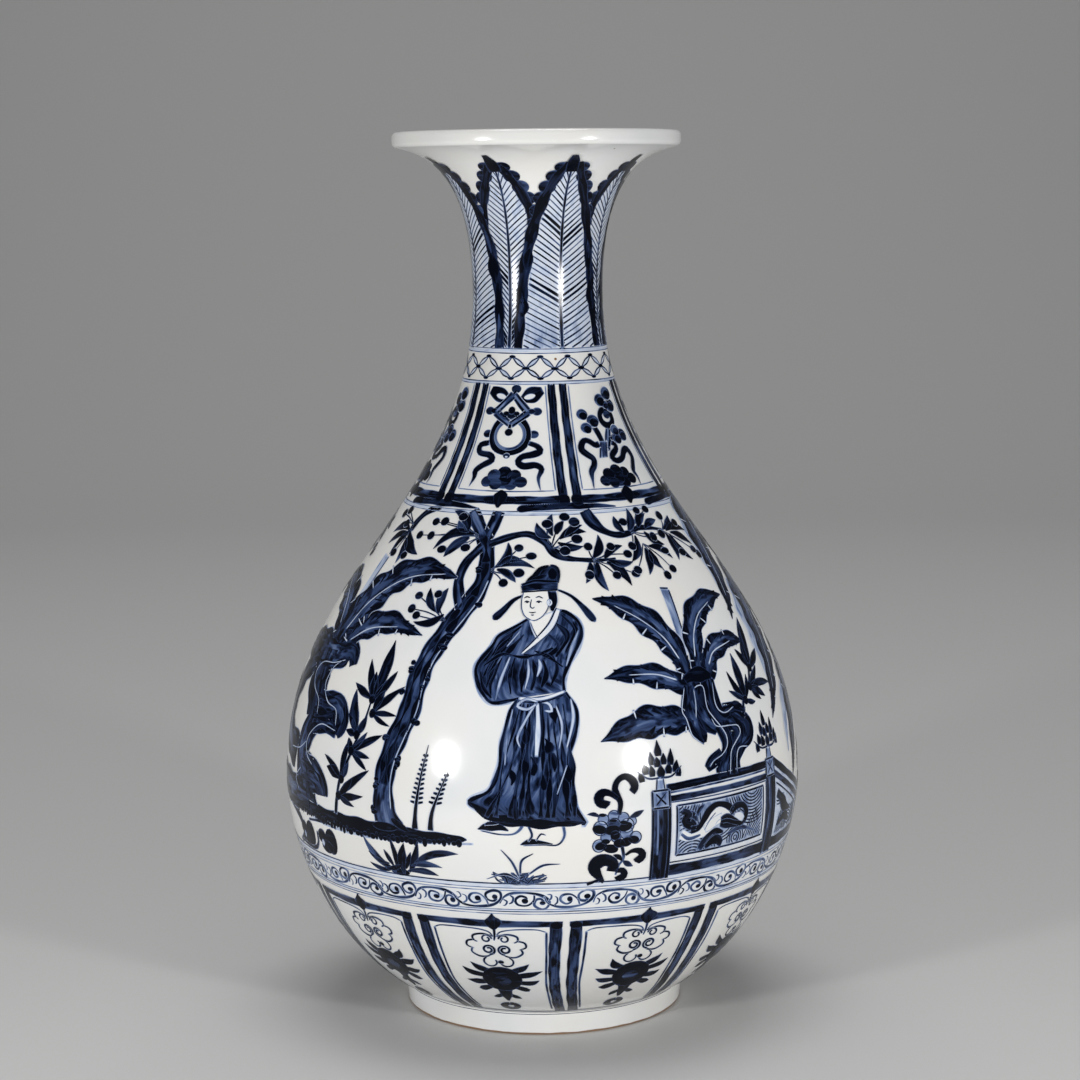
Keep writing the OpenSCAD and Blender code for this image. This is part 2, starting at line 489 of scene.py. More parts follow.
def make_cobalt():
    """Cobalt under the glaze: the stroke's tone, streaked along the brush's way and darker where the
    pigment heaped up, where it also dulls the glaze; the border bleeds into what it was painted on."""
    finish, nodes, links, shader = new_finish("cobalt_under_glaze")
    place = nodes.new("ShaderNodeTexCoord").outputs["Object"]

    def mark(name):
        source = nodes.new("ShaderNodeAttribute")
        source.attribute_name = name
        return source.outputs["Fac"]

    brush = nodes.new("ShaderNodeUVMap")
    brush.uv_map = "brush"
    hairs = nodes.new("ShaderNodeMapping")
    hairs.inputs["Scale"].default_value = (0.72, 0.07, 1)
    links.new(brush.outputs["UV"], hairs.inputs["Vector"])
    streak = add_noise(nodes, links, hairs.outputs["Vector"], scale=1, detail=1.6)
    loads = nodes.new("ShaderNodeMapping")
    loads.inputs["Scale"].default_value = (0.36, 0.14, 1)
    links.new(brush.outputs["UV"], loads.inputs["Vector"])
    heap = add_noise(nodes, links, loads.outputs["Vector"], scale=1)
    uneven = add_math(nodes, links, "MULTIPLY_ADD", streak, 1.15, -0.52)
    piled = nodes.new("ShaderNodeMapRange")
    piled.inputs["From Min"].default_value = 0.5
    piled.inputs["From Max"].default_value = 0.68
    piled.inputs["To Max"].default_value = 0.9
    links.new(heap, piled.inputs["Value"])
    change = add_math(nodes, links, "ADD", uneven, piled.outputs["Result"])
    tone = mark("tone")
    laid = add_math(nodes, links, "MULTIPLY_ADD", change, tone, tone)
    shown = nodes.new("ShaderNodeMix")
    links.new(mark("cover"), shown.inputs["Factor"])
    links.new(mark("ground"), shown.inputs["A"])
    links.new(laid, shown.inputs["B"])
    colour = add_ramp(nodes, links, shown.outputs["Result"], cobalt_tones)
    links.new(colour, shader.inputs["Base Color"])
    add_glaze_surface(nodes, links, shader, place)
    sheen = nodes.new("ShaderNodeMapRange")
    sheen.inputs["To Min"].default_value = 0.45
    sheen.inputs["To Max"].default_value = 0.12
    links.new(shown.outputs["Result"], sheen.inputs["Value"])
    links.new(sheen.outputs["Result"], shader.inputs["Specular IOR Level"])
    return finish


cobalt = make_cobalt()
coat = 0.03
order_share = 0.9
tape_gap = 1.0
tape_shape = 12
tape_half = 0.42


def paint(name, marks):
    """One piece of the painting: all its patches, lifted off the wall by a coat, one more for each layer,
    and a share of one for their order, so that a later stroke lies on an earlier one.
    Its bake map lays the patches side by side as strips of one long tape, cut into equal rows."""
    columns = {key: np.concatenate([m[key].ravel() for m in marks])
               for key in ("turn", "z", "tone", "ground", "cover", "across", "along")}
    sizes = [m["turn"].size for m in marks]
    layers = [coat * (1 + m["lift"] + order_share * k / len(marks)) for k, m in enumerate(marks)]
    lift = np.repeat(layers, sizes)
    seed = np.repeat([m["seed"] for m in marks], sizes)
    r, run = wall_at(columns["z"])
    slope = np.interp(columns["z"], wall_line[:, 1], wall_slope)
    t = np.radians(columns["turn"])
    normals = np.stack([np.sin(t) / run, -np.cos(t) / run, -slope / run], 1)
    points = np.stack([r * np.sin(t), -r * np.cos(t), columns["z"]], 1) + lift[:, None] * normals
    starts = np.concatenate([[0], np.cumsum(sizes)[:-1]])
    faces = []
    for m, start in zip(marks, starts):
        index = start + np.arange(m["turn"].size).reshape(m["turn"].shape)
        corners = [index[:-1, :-1], index[1:, :-1], index[1:, 1:], index[:-1, 1:]]
        faces.append(np.stack(corners, -1).reshape(-1, 4))
    faces = np.concatenate(faces)
    mesh = bpy.data.meshes.new(name)
    mesh.vertices.add(len(points))
    mesh.vertices.foreach_set("co", (points * MM).ravel())
    mesh.loops.add(faces.size)
    mesh.loops.foreach_set("vertex_index", faces.ravel())
    mesh.polygons.add(len(faces))
    mesh.polygons.foreach_set("loop_start", np.arange(0, faces.size, 4))
    mesh.update(calc_edges=True)
    mesh.polygons.foreach_set("use_smooth", np.ones(len(faces), bool))
    for key in ("tone", "ground", "cover"):
        mesh.attributes.new(key, "FLOAT", "POINT").data.foreach_set("value", columns[key])
    corner = faces.ravel()
    brush = np.stack([columns["across"] + seed, columns["along"] + seed], 1)[corner]
    mesh.uv_layers.new(name="brush").data.foreach_set("uv", brush.ravel())
    lengths = np.array([m["along"][-1, 0] + tape_gap for m in marks])
    rows = max(1, int(math.sqrt(lengths.sum() / tape_shape)))
    row_length = max(lengths.sum() / rows + lengths.max(), 1)
    along = np.cumsum(lengths) - lengths
    row, begin = np.divmod(along, row_length - lengths.max())
    tape_u = (np.repeat(begin, sizes) + columns["along"]) / row_length
    breadth = np.repeat([np.abs(m["across"]).max() for m in marks], sizes)
    in_row = 0.5 + tape_half * columns["across"] / np.maximum(breadth, 1e-6)
    tape_v = (np.repeat(row, sizes) + in_row) / (row.max() + 1)
    bake = np.stack([tape_u, tape_v], 1)[corner]
    mesh.uv_layers.new(name="OFBake").data.foreach_set("uv", bake.ravel())
    mesh.normals_split_custom_set_from_vertices(normals.tolist())
    piece = bpy.data.objects.new(name, mesh)
    bpy.context.collection.objects.link(piece)
    mesh.materials.append(cobalt)
    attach(piece, "root")
    return piece


ring_overlap = 1.5


def ring_line(z, width, tone, waver=0.12):
    """One turn of the wheel under a held brush, closed at the back with a little overlap."""
    turns = np.linspace(-180, 180 + ring_overlap, 25)
    heights = z + waver * np.sin(np.radians(turns) * 2 + hand.uniform(0, 6)) * hand.uniform(0.4, 1)
    path = np.stack([turns, heights, width + 0 * turns], 1)
    return stroke(path, tone, lift=1 + (tone > 0.2), spacing=1.3)


# Height, width and tone of every line, from the neck down to the foot.
ring_sizes = [
    (228.1, 0.45, 0.4), (227.4, 1.3, 0.12), (226.7, 0.45, 0.46),
    (217.3, 0.45, 0.46), (216.8, 1.2, 0.12), (216.4, 0.4, 0.3),
    (176.4, 0.45, 0.4), (175.8, 1.3, 0.12), (175.3, 0.42, 0.3),
    (62.6, 0.6, 0.66), (61.8, 1.6, 0.09), (61.2, 0.45, 0.34), (60.2, 0.5, 0.26), (56.9, 6.0, 0.025),
    (53.6, 0.45, 0.36), (53.2, 1.3, 0.09), (52.7, 0.5, 0.48), (51.9, 0.42, 0.3),
    (9.5, 0.9, 0.75), (7.66, 0.45, 0.62),
]
paint("ring_lines", [ring_line(*size) for size in ring_sizes])


# Diaper band
# A narrow band at the base of the neck: a lattice of spindle-shaped links, each two bowed lines with a pale
# wash between them, tied by dots where the links cross and where they meet the ring lines.
diaper_count = 16
diaper_step = 360 / diaper_count
diaper_start = 1.5
diaper_low, diaper_mid, diaper_high = 218.4, 221.7, 225.5
link_line = 0.55
link_bow = 0.66


def bowed(start, end, bow, width):
    """Path from start to end that bends sideways by bow, in millimetres, and thins towards both ends."""
    start, end = np.array(start, float), np.array(end, float)
    middle = (start + end) / 2
    r, run = wall_at(middle[1])
    u, v = np.radians(end[0] - start[0]) * r, (end[1] - start[1]) * run
    length = math.hypot(u, v)
    off = np.array([np.degrees(-v / length * bow / r), u / length * bow / run])
    return [(*start, width * 0.8), (*(middle + off), width), (*end, width * 0.8)]


def blob(centre, wide, high, tone, ground=0.0, lift=2, soft=0.3, lean=0.0):
    """Oval dab: wide and high are its half sizes along the wall, and lean turns it, in degrees."""
    r, run = wall_at(centre[1])
    a = np.linspace(0.02, np.pi - 0.02, 11)
    c, s = math.cos(math.radians(lean)), math.sin(math.radians(lean))

    def edge(sign):
        u, v = -wide * np.cos(a), sign * high * np.sin(a)
        return np.stack([centre[0] + np.degrees((u * c - v * s) / r), centre[1] + (u * s + v * c) / run], 1)

    return between(edge(1), edge(-1), tone, ground, lift, soft)


def fill(left, right, tone, ground=0.0, lift=1, soft=0.28, spacing=0.9):
    """Painted shape between two smooth outlines that run the same way."""
    count = max(len(through(side, spacing)) for side in (left, right))
    left, right = (through(np.array(side, float)[:, :2], spacing, count) for side in (left, right))
    return between(left, right, tone, ground, lift, soft)


diaper = []
for k in range(diaper_count):
    at = diaper_start + k * diaper_step
    tie = (at + diaper_step / 2, diaper_mid + hand.uniform(-0.3, 0.3))
    ends = [(at, diaper_high), (at + diaper_step, diaper_high), (at, diaper_low),
            (at + diaper_step, diaper_low)]
    for end in ends:
        upper, lower = (np.array(bowed(end, tie, bow, link_line)) for bow in (link_bow, -link_bow))
        diaper.append(fill(upper, lower, 0.1, soft=0.1))
        diaper += [stroke(edge, hand.uniform(0.6, 0.85), 0.1, lift=2) for edge in (upper, lower)]
    diaper.append(blob(tie, 1.3, 0.65, 0.95, 0.3, lift=3))
    diaper += [blob((at, z), 1.1, 0.6, 0.9, 0.3, lift=3) for z in (diaper_high, diaper_low)]
paint("diaper_band", diaper)


# Upright leaves of the neck
# Plantain leaves stand round the neck, broad ones in front and narrow ones between them, from the ring
# lines up under the mouth. Each has a heavy dark border, scalloped at the tip, a midrib and fine veins.
# An outline lists heights, each with half the leaf's breadth there, in degrees; the border's sizes and the
# lobes list heights, each with a width or a half size in millimetres.
broad_half = [(228.3, 33), (236, 31.8), (244, 30), (252, 27.6), (260, 24.4), (268, 19.6), (276, 13.4),
              (283, 7.2), (289.5, 0.6)]
narrow_half = [(228.3, 9), (236, 11.5), (244, 13.2), (251, 14.8), (258, 17), (265, 18.8), (271, 18),
               (277, 13.6), (283, 7.4), (288.5, 0.6)]
leaf_lobes = [(270.5, 1.9), (274.6, 2.3), (278.6, 2.6), (282.3, 2.7), (285.8, 2.7), (288.8, 2.5)]
vein_gap = 1.85
vein_rise = 6.4
vein_top = 284.5
flatter_from, flatter_over = 262, 44
heavy_heights = (228, 270)
heavy_reach = 1.7
rib_top = 287.5
wet_top = 242
border_sizes = [(228, 3.2), (250, 3.7), (272, 3.6), (289, 2.8)]
dab_heights = (235, 266)
dab_count = 4


def standing_leaf(centre, outline, layer, lean):
    """One leaf about its centre line: a wash, wetter at the foot, veins that rise less steeply near the
    top, some of them heavy, a midrib, then the lobes, the border with dabs along it, and the tip."""
    z, half = np.array(outline, float).T

    def at(height, share):
        reach = np.interp(height, z, half)
        return centre + lean * (height - z[0]) + share * reach

    heights = np.linspace(z[0], z[-1], 40)
    edges = [np.stack([at(heights, share), heights], 1) for share in (-1, 1)]
    marks = [between(edges[0], edges[1], (0.12, 0.08, 0.10), lift=layer, soft=0.1)]
    wet = np.linspace(z[0], wet_top, 8)
    wet_edges = [np.stack([at(wet, share), wet], 1) for share in (-0.97, -0.08)]
    marks.append(between(*wet_edges, (0.21, 0.19, 0.15, 0.1), 0.1, lift=layer + 0.5, soft=0.6))
    for side in (-1, 1):
        heavy_at = hand.uniform(*heavy_heights, 2)
        for start in np.arange(z[0] - vein_rise + 1, vein_top, vein_gap):
            share = np.array([max(0, (z[0] - start) / vein_rise), 0, 1])
            share[1] = share[0] * 0.5 + 0.5
            way = start + vein_rise * (1 - max(0, start - flatter_from) / flatter_over) * share
            heavy = np.abs(heavy_at - start).min() < heavy_reach
            width = hand.uniform(0.9, 1.3) if heavy else hand.uniform(0.46, 0.68)
            tone = hand.uniform(0.85, 0.98) if heavy else hand.uniform(0.55, 0.78)
            path = np.stack([at(way, side * share * 0.98), way, width * np.array([0.95, 1, 0.8])], 1)
            marks.append(stroke(path, tone, 0.07, lift=layer + 1, soft=0.16, spacing=1.1))
    rib = np.linspace(z[0], rib_top, 9)
    marks.append(stroke(np.stack([at(rib, 0), rib, np.linspace(1.4, 0.9, 9)], 1), 0.76, 0.07, lift=layer + 2))
    border_z = heights[::3]
    border_width = np.interp(border_z, *np.transpose(border_sizes))
    for side in (-1, 1):
        for lobe_z, size in leaf_lobes:
            turn = at(lobe_z, side) + side * np.degrees((size * 0.55 + 1.4) / wall_at(lobe_z)[0])
            tones = (0.92, hand.uniform(0.5, 0.85))
            marks.append(blob((turn, lobe_z - 0.8), size * 1.08, size * 0.95, tones, 0.45, layer + 3, 0.35))
        out = side * np.degrees(border_width * 0.46 / wall_at(border_z)[0])
        path = np.stack([at(border_z, side) + out, border_z, border_width], 1)
        marks.append(stroke(path, (0.8, 0.97, 0.72, 0.97, 0.85, 1), 0.6, lift=layer + 4, uneven=0.16))
        for dab_z in hand.uniform(*dab_heights, dab_count):
            wide, high = hand.uniform(1.4, 2.2), hand.uniform(2, 4.4)
            tone = hand.choice([0.58, 0.97])
            steps = dab_z + high * np.array([-1.2, -0.3, 0.4, 1.2])
            out = side * np.degrees((1.1 if tone > 0.9 else 1.4) / wall_at(steps)[0])
            widths = wide * (2.2 if tone > 0.9 else 0.9) * np.array([0.3, 1, 0.9, 0.2])
            path = np.stack([at(steps, side) + out, steps, widths], 1)
            marks.append(stroke(path, tone, 0.75, lift=layer + 5, soft=0.5))
    tip = at(z[-1], 0)
    marks.append(stroke([(tip, 286.5, 4.2), (tip - 0.5, 289.4, 4.6), (tip - 1.4, 291.9, 1.8)], 0.96, 0.6,
                        lift=layer + 5))
    return marks


pair_count = 4
pair_step = 360 / pair_count
narrow_start, narrow_layer = -24.5, 1
broad_start, broad_layer = 20, 7
neck_leaves = []
for k in range(pair_count):
    centre = narrow_start + k * pair_step
    neck_leaves += standing_leaf(centre, narrow_half, narrow_layer, hand.uniform(-0.06, 0.0))
for k in range(pair_count):
    centre = broad_start + k * pair_step
    neck_leaves += standing_leaf(centre, broad_half, broad_layer, hand.uniform(-0.01, 0.02))
paint("neck_leaves", neck_leaves)


# Shoulder panels
# Six upright panels stand round the shoulder between pairs of heavy bars. A knotted ring and a sprig of
# three flowers, both tied with ribbons over a small cloud, take turns in them, and flat lappets hang below.
panel_count = 6
panel_step = 360 / panel_count
panel_start = -16.5


def again(marks, turn, mirror=False):
    """The same marks carried round the vase, or first mirrored about the middle of the front."""
    way = -1 if mirror else 1
    return [{key: (way * value + turn if key == "turn" else value)[:, ::way] if np.ndim(value) else value
             for key, value in mark.items()} for mark in marks]


def circle(centre, radius, width, tone, ground=0.0, lift=2, start=0.0, turns=1.0, shrink=0.0):
    """Stroke round a centre, closed or wound into a spiral that loses a share of its radius (shrink)."""
    r, run = wall_at(centre[1])
    a = np.radians(start) + np.linspace(0, 2 * np.pi * turns, max(9, int(abs(turns) * 14)))
    reach = radius * (1 - shrink * np.linspace(0, 1, len(a)))
    path = np.stack([centre[0] + np.degrees(reach * np.sin(a) / r), centre[1] + reach * np.cos(a) / run,
                     np.full(len(a), width)], 1)
    return stroke(path, tone, ground, lift, spacing=max(0.35, radius / 6))


def swelling(points, widths):
    """A path through the points, with its widths spread evenly along it."""
    points = np.array(points, float)
    share = np.linspace(0, 1, len(points))
    return np.column_stack([points, np.interp(share, np.linspace(0, 1, len(widths)), widths)])


def drawn(points, widths, *looks, **more):
    """Brush stroke through the points, its widths spread evenly along it; the rest is as in a stroke."""
    return stroke(swelling(points, widths), *looks, **more)


def small_cloud(centre, tones):
    """Cloud or fungus of dark lobes that run into each other, on a short stalk."""
    lobes = [(-8.6, -0.6, 2.1), (8.2, -0.6, 2.1), (-5.6, 1.4, 2.3), (4.8, 1.4, 2.3), (-0.4, 2.2, 2.5),
             (-4, -1.4, 2.1), (3.4, -1.4, 2.1), (-0.4, 0.2, 2.7)]
    return [blob(centre, 6.4, 3.4, 0.66, lift=1)] + [
        blob((centre[0] + x, centre[1] + y), size, size * 0.95, hand.uniform(*tones), 0.62, lift=2 + k % 3)
        for k, (x, y, size) in enumerate(lobes)]


def panel_frame():
    """Bars that join round the corners, thin inner lines, the cusp in the lower bar, and the lappet."""
    marks = []
    for side in (-1, 1):
        post_path = [(side * 25.7, 216.6, 2.5), (side * 25.9, 210, 2.6), (side * 26.3, 195, 2.9),
                     (side * 26.7, 185, 3), (side * 26.9, 179, 3.2)]
        marks.append(stroke(post_path, (0.98, 0.85, 0.6, 0.54, 0.95), 0.1, lift=2, uneven=0.05))
        marks += [stroke(beside(post_path, share, 0.8), hand.uniform(0.75, 1, 5), 0.6, lift=3, uneven=0.3)
                  for share in (-0.7, 0.7)]
        marks.append(blob((side * 26.9, 179.8), 2.2, 2.4, 0.99, 0.85, lift=4, soft=0.8))
        marks.append(stroke([(side * 21.4, 216, 0.6), (side * 22.5, 200, 0.6), (side * 23.7, 182.7, 0.6)],
                            0.36))
        marks.append(blob((side * 3.6 - 1, 179.8), 3, 1.4, 0.97, 0.6, lift=4))
    marks.append(stroke([(-23.7, 182.7, 0.5), (0, 182.5, 0.6), (23.7, 182.7, 0.5)], 0.36))
    marks.append(stroke([(-29, 179.8, 3.3), (-14, 179.8, 3.1), (0, 179.8, 3.3), (14, 179.8, 3.1),
                         (29, 179.8, 3.3)], (0.98, 0.62, 0.95, 0.56, 0.98), 0.1, lift=3))
    marks.append(stroke([(-25, 179.2, 1), (-14, 179.1, 1.1), (0, 179, 1), (14, 179.1, 1.1), (25, 179.2, 1)],
                        0.93, 0.6, lift=4, uneven=0.3))
    marks.append(drawn([(-1, 182.9), (-0.8, 181.5), (-1.2, 179.7), (-1.4, 177.4)], (0.6, 4.4, 4.4, 0.8), 0.99,
                       0.75, lift=5))
    marks.append(drawn([(7, 177), (8.2, 177.1), (11, 177.4), (20, 177.8), (30, 177.9), (40, 177.7),
                        (50, 177)],
                       (0.8, 2.5, 3, 2.6, 2.8, 2.2, 0.6), (0.99, 0.85, 0.66, 0.9, 0.6), 0.1, lift=3))
    return marks


def knotted_ring():
    """A lozenge over a ring, with two bow loops, little balls and trailing ribbons."""
    marks = []
    corners = [(-1, 213.2), (9.8, 207.4), (-1.2, 203.4), (-12.8, 207.4)]
    for k in range(4):
        side = [corners[k - 1], corners[k]]
        marks.append(drawn(side, (2.8, 2.8), 0.86, lift=4))
        marks.append(drawn(side, (1.0, 1.0), 0.4, 0.7, lift=5))
    mound = [(-1.5, 206.2, 3.2, 0.9), (-1.4, 208, 1.2, 1.4), (-5, 207, 1, 0.8), (2, 207, 1, 0.8)]
    marks += [blob((x, z), wide, high, 0.97, 0.4, lift=4) for x, z, wide, high in mound]
    for side in (-1, 1):
        marks.append(drawn([(side * 4, 211.3), (side * 11, 212.9), (side * 19.5, 214.6)], (2, 5.8, 2.6),
                           (0.85, 0.98), lift=2))
        marks.append(blob((side * 10.3, 212.5), 1.9, 1.1, 0.02, 0.7, lift=3, lean=side * 14))
        marks.append(blob((side * 16.3 - 1, 207.7), 1.7, 1.5, 0.75, 0.1, lift=3))
        marks.append(blob((side * 12.8 - 1, 207.7), 1.3, 1.0, 0.95, 0.3, lift=4))
        marks.append(blob((side * 14.4 - 1, 200.4), 1.7, 1.5, 0.66, 0.1, lift=1))
    marks += [blob((0.5, 215.0), 1.7, 1.6, (0.9, 0.7), lift=2),
              stroke([(0, 214.4, 1.2), (-0.6, 212.6, 1.4)], 0.9, 0.4, lift=3)]
    marks += [circle((-1, 200.2), 6.2, 2.5, 0.95, lift=2), circle((-1, 200.2), 5.0, 1.1, 0.45, 0.3, lift=3)]
    marks += [drawn([(-1.4, 203.6), (-1.8, 202)], (1.5, 1.2), 0.9, lift=5),
              blob((-1.8, 201), 1.4, 1.4, 0.95, lift=5)]
    marks += [blob((-1.2, 193.5), 1.2, 1.1, 0.75, lift=4), blob((-1.2, 193.2), 0.5, 0.4, 0.1, 0.6, lift=5)]
    marks.append(drawn([(-13, 197.5), (-18.3, 196.6), (-17.5, 194.3), (-11, 193.6), (-9.2, 192), (-14, 190.2),
                        (-17, 188.5), (-16.6, 186.5), (-18, 183.4)],
                       (2, 2.5, 2.3, 2.8, 2.3, 0.3), (0.97, 0.95, 0.97, 0.9, 0.5), lift=3))
    marks.append(drawn([(10.5, 197.7), (15.5, 196.6), (17, 195), (13, 194), (7.5, 193.3), (5.5, 191.7),
                        (8.5, 190.4), (14.5, 190.7), (17.6, 189.4), (16, 186.5), (17, 182.7)],
                       (2, 2.5, 2.6, 2.6, 2.4, 0.3), (0.97, 0.95, 0.97, 0.9, 0.5), lift=3))
    return marks + small_cloud((-0.5, 186), (0.58, 0.95))


def flower_sprig():
    """Three trefoil heads on crossed stems, a small ring, a bundle, ribbons and a cloud."""
    marks = [drawn([(-4, 194), (-5.5, 199), (-8, 202.5)], (2.6, 2.4, 2.2), 0.7, lift=2),
             drawn([(-3, 194.5), (1, 199), (4, 202)], (2.8, 2.6, 2.2), 0.7, lift=2),
             drawn([(-2, 196), (4, 198.2), (10, 198.3)], (2.4, 2.2, 1.8), 0.75, lift=2),
             drawn([(-3, 195), (0.6, 198.6), (3, 201.4)], (0.8, 1, 0.7), 0.3, 0.6, lift=3),
             circle((4.6, 204.8), 2.9, 2.5, 0.95, lift=3), blob((5.6, 205.6), 1.6, 1.4, 0.5, 0.6, lift=4)]
    marks.append(fill([(-10.6, 192.0), (-8.6, 195), (-7, 197.4)], [(-4.2, 192.2), (-2.4, 195), (-1, 197.4)],
                      0.42, lift=3))
    marks += [drawn([(x, 192.2), (x + 3.2, 197)], (0.5, 0.5), 0.72, 0.4, lift=4) for x in (-9.6, -7.4, -5.2)]
    heads = [(3.5, 210.2, 2.2), (11.8, 212.2, 2.3), (12.4, 208.2, 2.3), (7.5, 208.6, 1.5), (-14, 206, 1.9),
             (-13, 201.6, 1.9), (-7, 203.7, 2.2), (8.3, 197.6, 2.1), (14.6, 198.4, 2.2), (9, 200.2, 1.9)]
    for k, (x, y, size) in enumerate(heads):
        marks.append(blob((x - 0.6, y + 0.3), size * 1.12, size * 1.1, 0.5, lift=4 + k % 2))
        marks.append(blob((x, y - 0.2), size * 0.8, size * 0.78, hand.uniform(0.85, 0.98), 0.4, lift=6))
    marks.append(drawn([(-7.5, 196.5), (-10.5, 196.3), (-13.5, 197.5), (-16.5, 198), (-19, 196.8),
                        (-19.5, 195), (-17, 193.5), (-14, 192), (-14.5, 190), (-17, 188), (-17.5, 185.5),
                        (-18, 182.6)],
                       (2.4, 2.4, 2.4, 2.7, 2.3, 0.3), (0.97, 0.95, 0.97, 0.85, 0.5), lift=5))
    marks.append(drawn([(1.5, 196.7), (4, 196), (3.5, 194.5), (-0.5, 193), (-1.5, 191.8), (1, 190.8),
                        (5.5, 191.5), (9.5, 193.7), (13, 194), (14.5, 191.5), (12, 189), (10, 187), (11, 185),
                        (10.5, 182.6)],
                       (2.2, 2.4, 2.4, 2.6, 2.4, 2, 0.3), (0.97, 0.95, 0.97, 0.85, 0.5), lift=5))
    return marks + small_cloud((-2, 185.6), (0.7, 0.98))


shoulder = []
for k in range(panel_count):
    emblem = flower_sprig() if k % 2 else knotted_ring()
    shoulder += again(panel_frame() + emblem, panel_start + k * panel_step)
paint("shoulder_panels", shoulder)


# Tree
# An old tree leans over the left of the garden. Its bark is a dark outline filled with streaky blue, knots
# stand out on it, and its boughs run under the shoulder with pointed leaves and stalked berries.
def outlined(paths, edge, dark, mid, lift=2, uneven=0.12):
    """Strokes with a dark border: all of them dark at full width, then all again narrower in blue."""
    marks = [stroke(path, dark, 0, lift, uneven=uneven) for path in paths]
    for path in paths:
        inner = np.array(path, float)
        inner[:, 2] = np.maximum(inner[:, 2] - 2 * edge, least_width)
        marks.append(stroke(inner, mid, 0.9, lift + 1, soft=0.4, uneven=2 * uneven))
    return marks


def leaf(foot, tip, width, tone=(0.72, 0.9, 0.6), lift=3, bend=None, under=0.5):
    """One press of a pointed brush, from the foot of a leaf to its tip, a little bent."""
    foot, tip = np.array(foot, float), np.array(tip, float)
    r, run = wall_at((foot[1] + tip[1]) / 2)
    u, v = np.radians(tip[0] - foot[0]) * r, (tip[1] - foot[1]) * run
    bend = hand.uniform(-0.13, 0.13) if bend is None else bend
    share = np.array([0, 0.25, 0.5, 0.78, 1])[:, None]
    off = np.array([np.degrees(-v / r), u / run]) * bend * np.sin(np.pi * share)
    rows = foot + share * (tip - foot) + off
    widths = width * np.array([0.22, 0.78, 1, 0.62, 0.05])
    return stroke(np.column_stack([rows, widths]), tone, under, lift, spacing=0.7)


def leafy(root, leaves, berries):
    """A spray: bent leaves (foot, tip, width, bend) and berries on thin stalks that come from its root."""
    marks = [leaf(foot, tip, width, np.sort(hand.uniform(0.6, 1.1, 3))[::-1], 4, bend, 0.4)
             for foot, tip, width, bend in leaves]
    for berry in berries:
        stalk = bowed(root, berry, hand.uniform(-1, 1), 0.5)
        marks.append(stroke(stalk, 0.75, 0.2, lift=2))
        marks.append(blob(berry, *hand.uniform(1.5, 1.9, 2), hand.uniform(0.93, 1), lift=5))
    return marks


trunk = [(-34, 78.3, 13), (-35.1, 84, 9), (-35.4, 92, 8.4), (-34.6, 100, 8), (-32.8, 108, 8.4),
         (-30.8, 116, 8.4), (-30.3, 124, 8.2), (-28.8, 132, 7.8), (-25.6, 140, 7.6), (-22.3, 146.3, 7.6),
         (-19.6, 151, 6.8), (-17.9, 156, 6), (-17.9, 161, 5.6), (-19, 165.5, 5.8), (-21, 168.6, 5.6),
         (-24.4, 172.2, 5.2), (-28.8, 176.2, 5)]
left_stem = [(-22.9, 147.2, 4.8), (-25.0, 152, 4.1), (-26, 156, 3.8), (-25.2, 160.4, 3.5),
             (-22.2, 164.2, 3.6), (-19.6, 166.4, 3.8)]
right_top = [(-19.9, 167, 4.6), (-18.5, 171, 4.4), (-17.5, 174, 4.4), (-16.8, 176.3, 5)]
bough = [(-18.5, 166.3, 3.6), (-12, 168.5, 2.6), (-6, 169.6, 2.8), (-2, 169, 2.5), (2, 167, 3),
         (4.5, 164.3, 3.6), (9, 162.3, 2.5), (14, 161.6, 2), (20, 161.2, 1.6), (26, 161.4, 1.0)]
right_bough = [(18.6, 176.3, 5), (20.7, 173, 4.6), (24, 170.2, 3.4), (29, 168.4, 2.6), (35, 168.6, 2.4),
               (40, 169.8, 2.2), (46, 169.3, 1.8), (52, 168.2, 1.5)]
left_bough = [(-45, 176.4, 2), (-52, 174.8, 2.8), (-56, 171.5, 3.2), (-57, 168.3, 2.4)]
tree = outlined([trunk, left_stem, right_top], 1.3, (0.99, 0.92, 0.99), (0.46, 0.62, 0.5, 0.66, 0.4),
                uneven=0.07)
tree.append(stroke(beside(trunk[1:12], -0.62, 0.55), 0.2, 0.6, lift=4))
tree.append(stroke(beside(trunk[2:10], 0.35, 1.6), (0.97, 0.7, 0.97, 0.8, 0.97), 0.6, lift=4, uneven=0.6))
tree += [stroke(beside(trunk[k:k + 3], hand.uniform(-0.5, 0.5), 2), 0.96, 0.6, lift=4, uneven=0.6)
         for k in range(2, 14, 2)]
tree += outlined([bough, left_bough], 1.0, 0.99, 0.7)
knots = [(-32.3, 131), (-27.4, 125.4), (-28.8, 112.6), (-32.1, 100.4), (-35.8, 107.4), (-37.8, 92.5),
         (-24.2, 138.4), (-25.2, 135.8), (-33.4, 120.5), (-17.6, 148.8), (-32.2, 98.4), (-37.6, 83.5),
         (-19.6, 159), (-38, 90.6), (-32.4, 128.6)]
for x, z in knots:
    for _ in range(2):
        thorn = (x + hand.uniform(-0.6, 0.6), z + hand.uniform(-1, 1))
        tree.append(blob(thorn, *hand.uniform(0.7, 1.4, 2), 0.99, 0.5, lift=4))
tree += [blob((-35, 78.4), 5, 1.5, 0.97, 0.5, lift=4),
         blob((-31.2, 79.6), 3.6, 1.2, 0.97, 0.6, lift=4, lean=-28)]
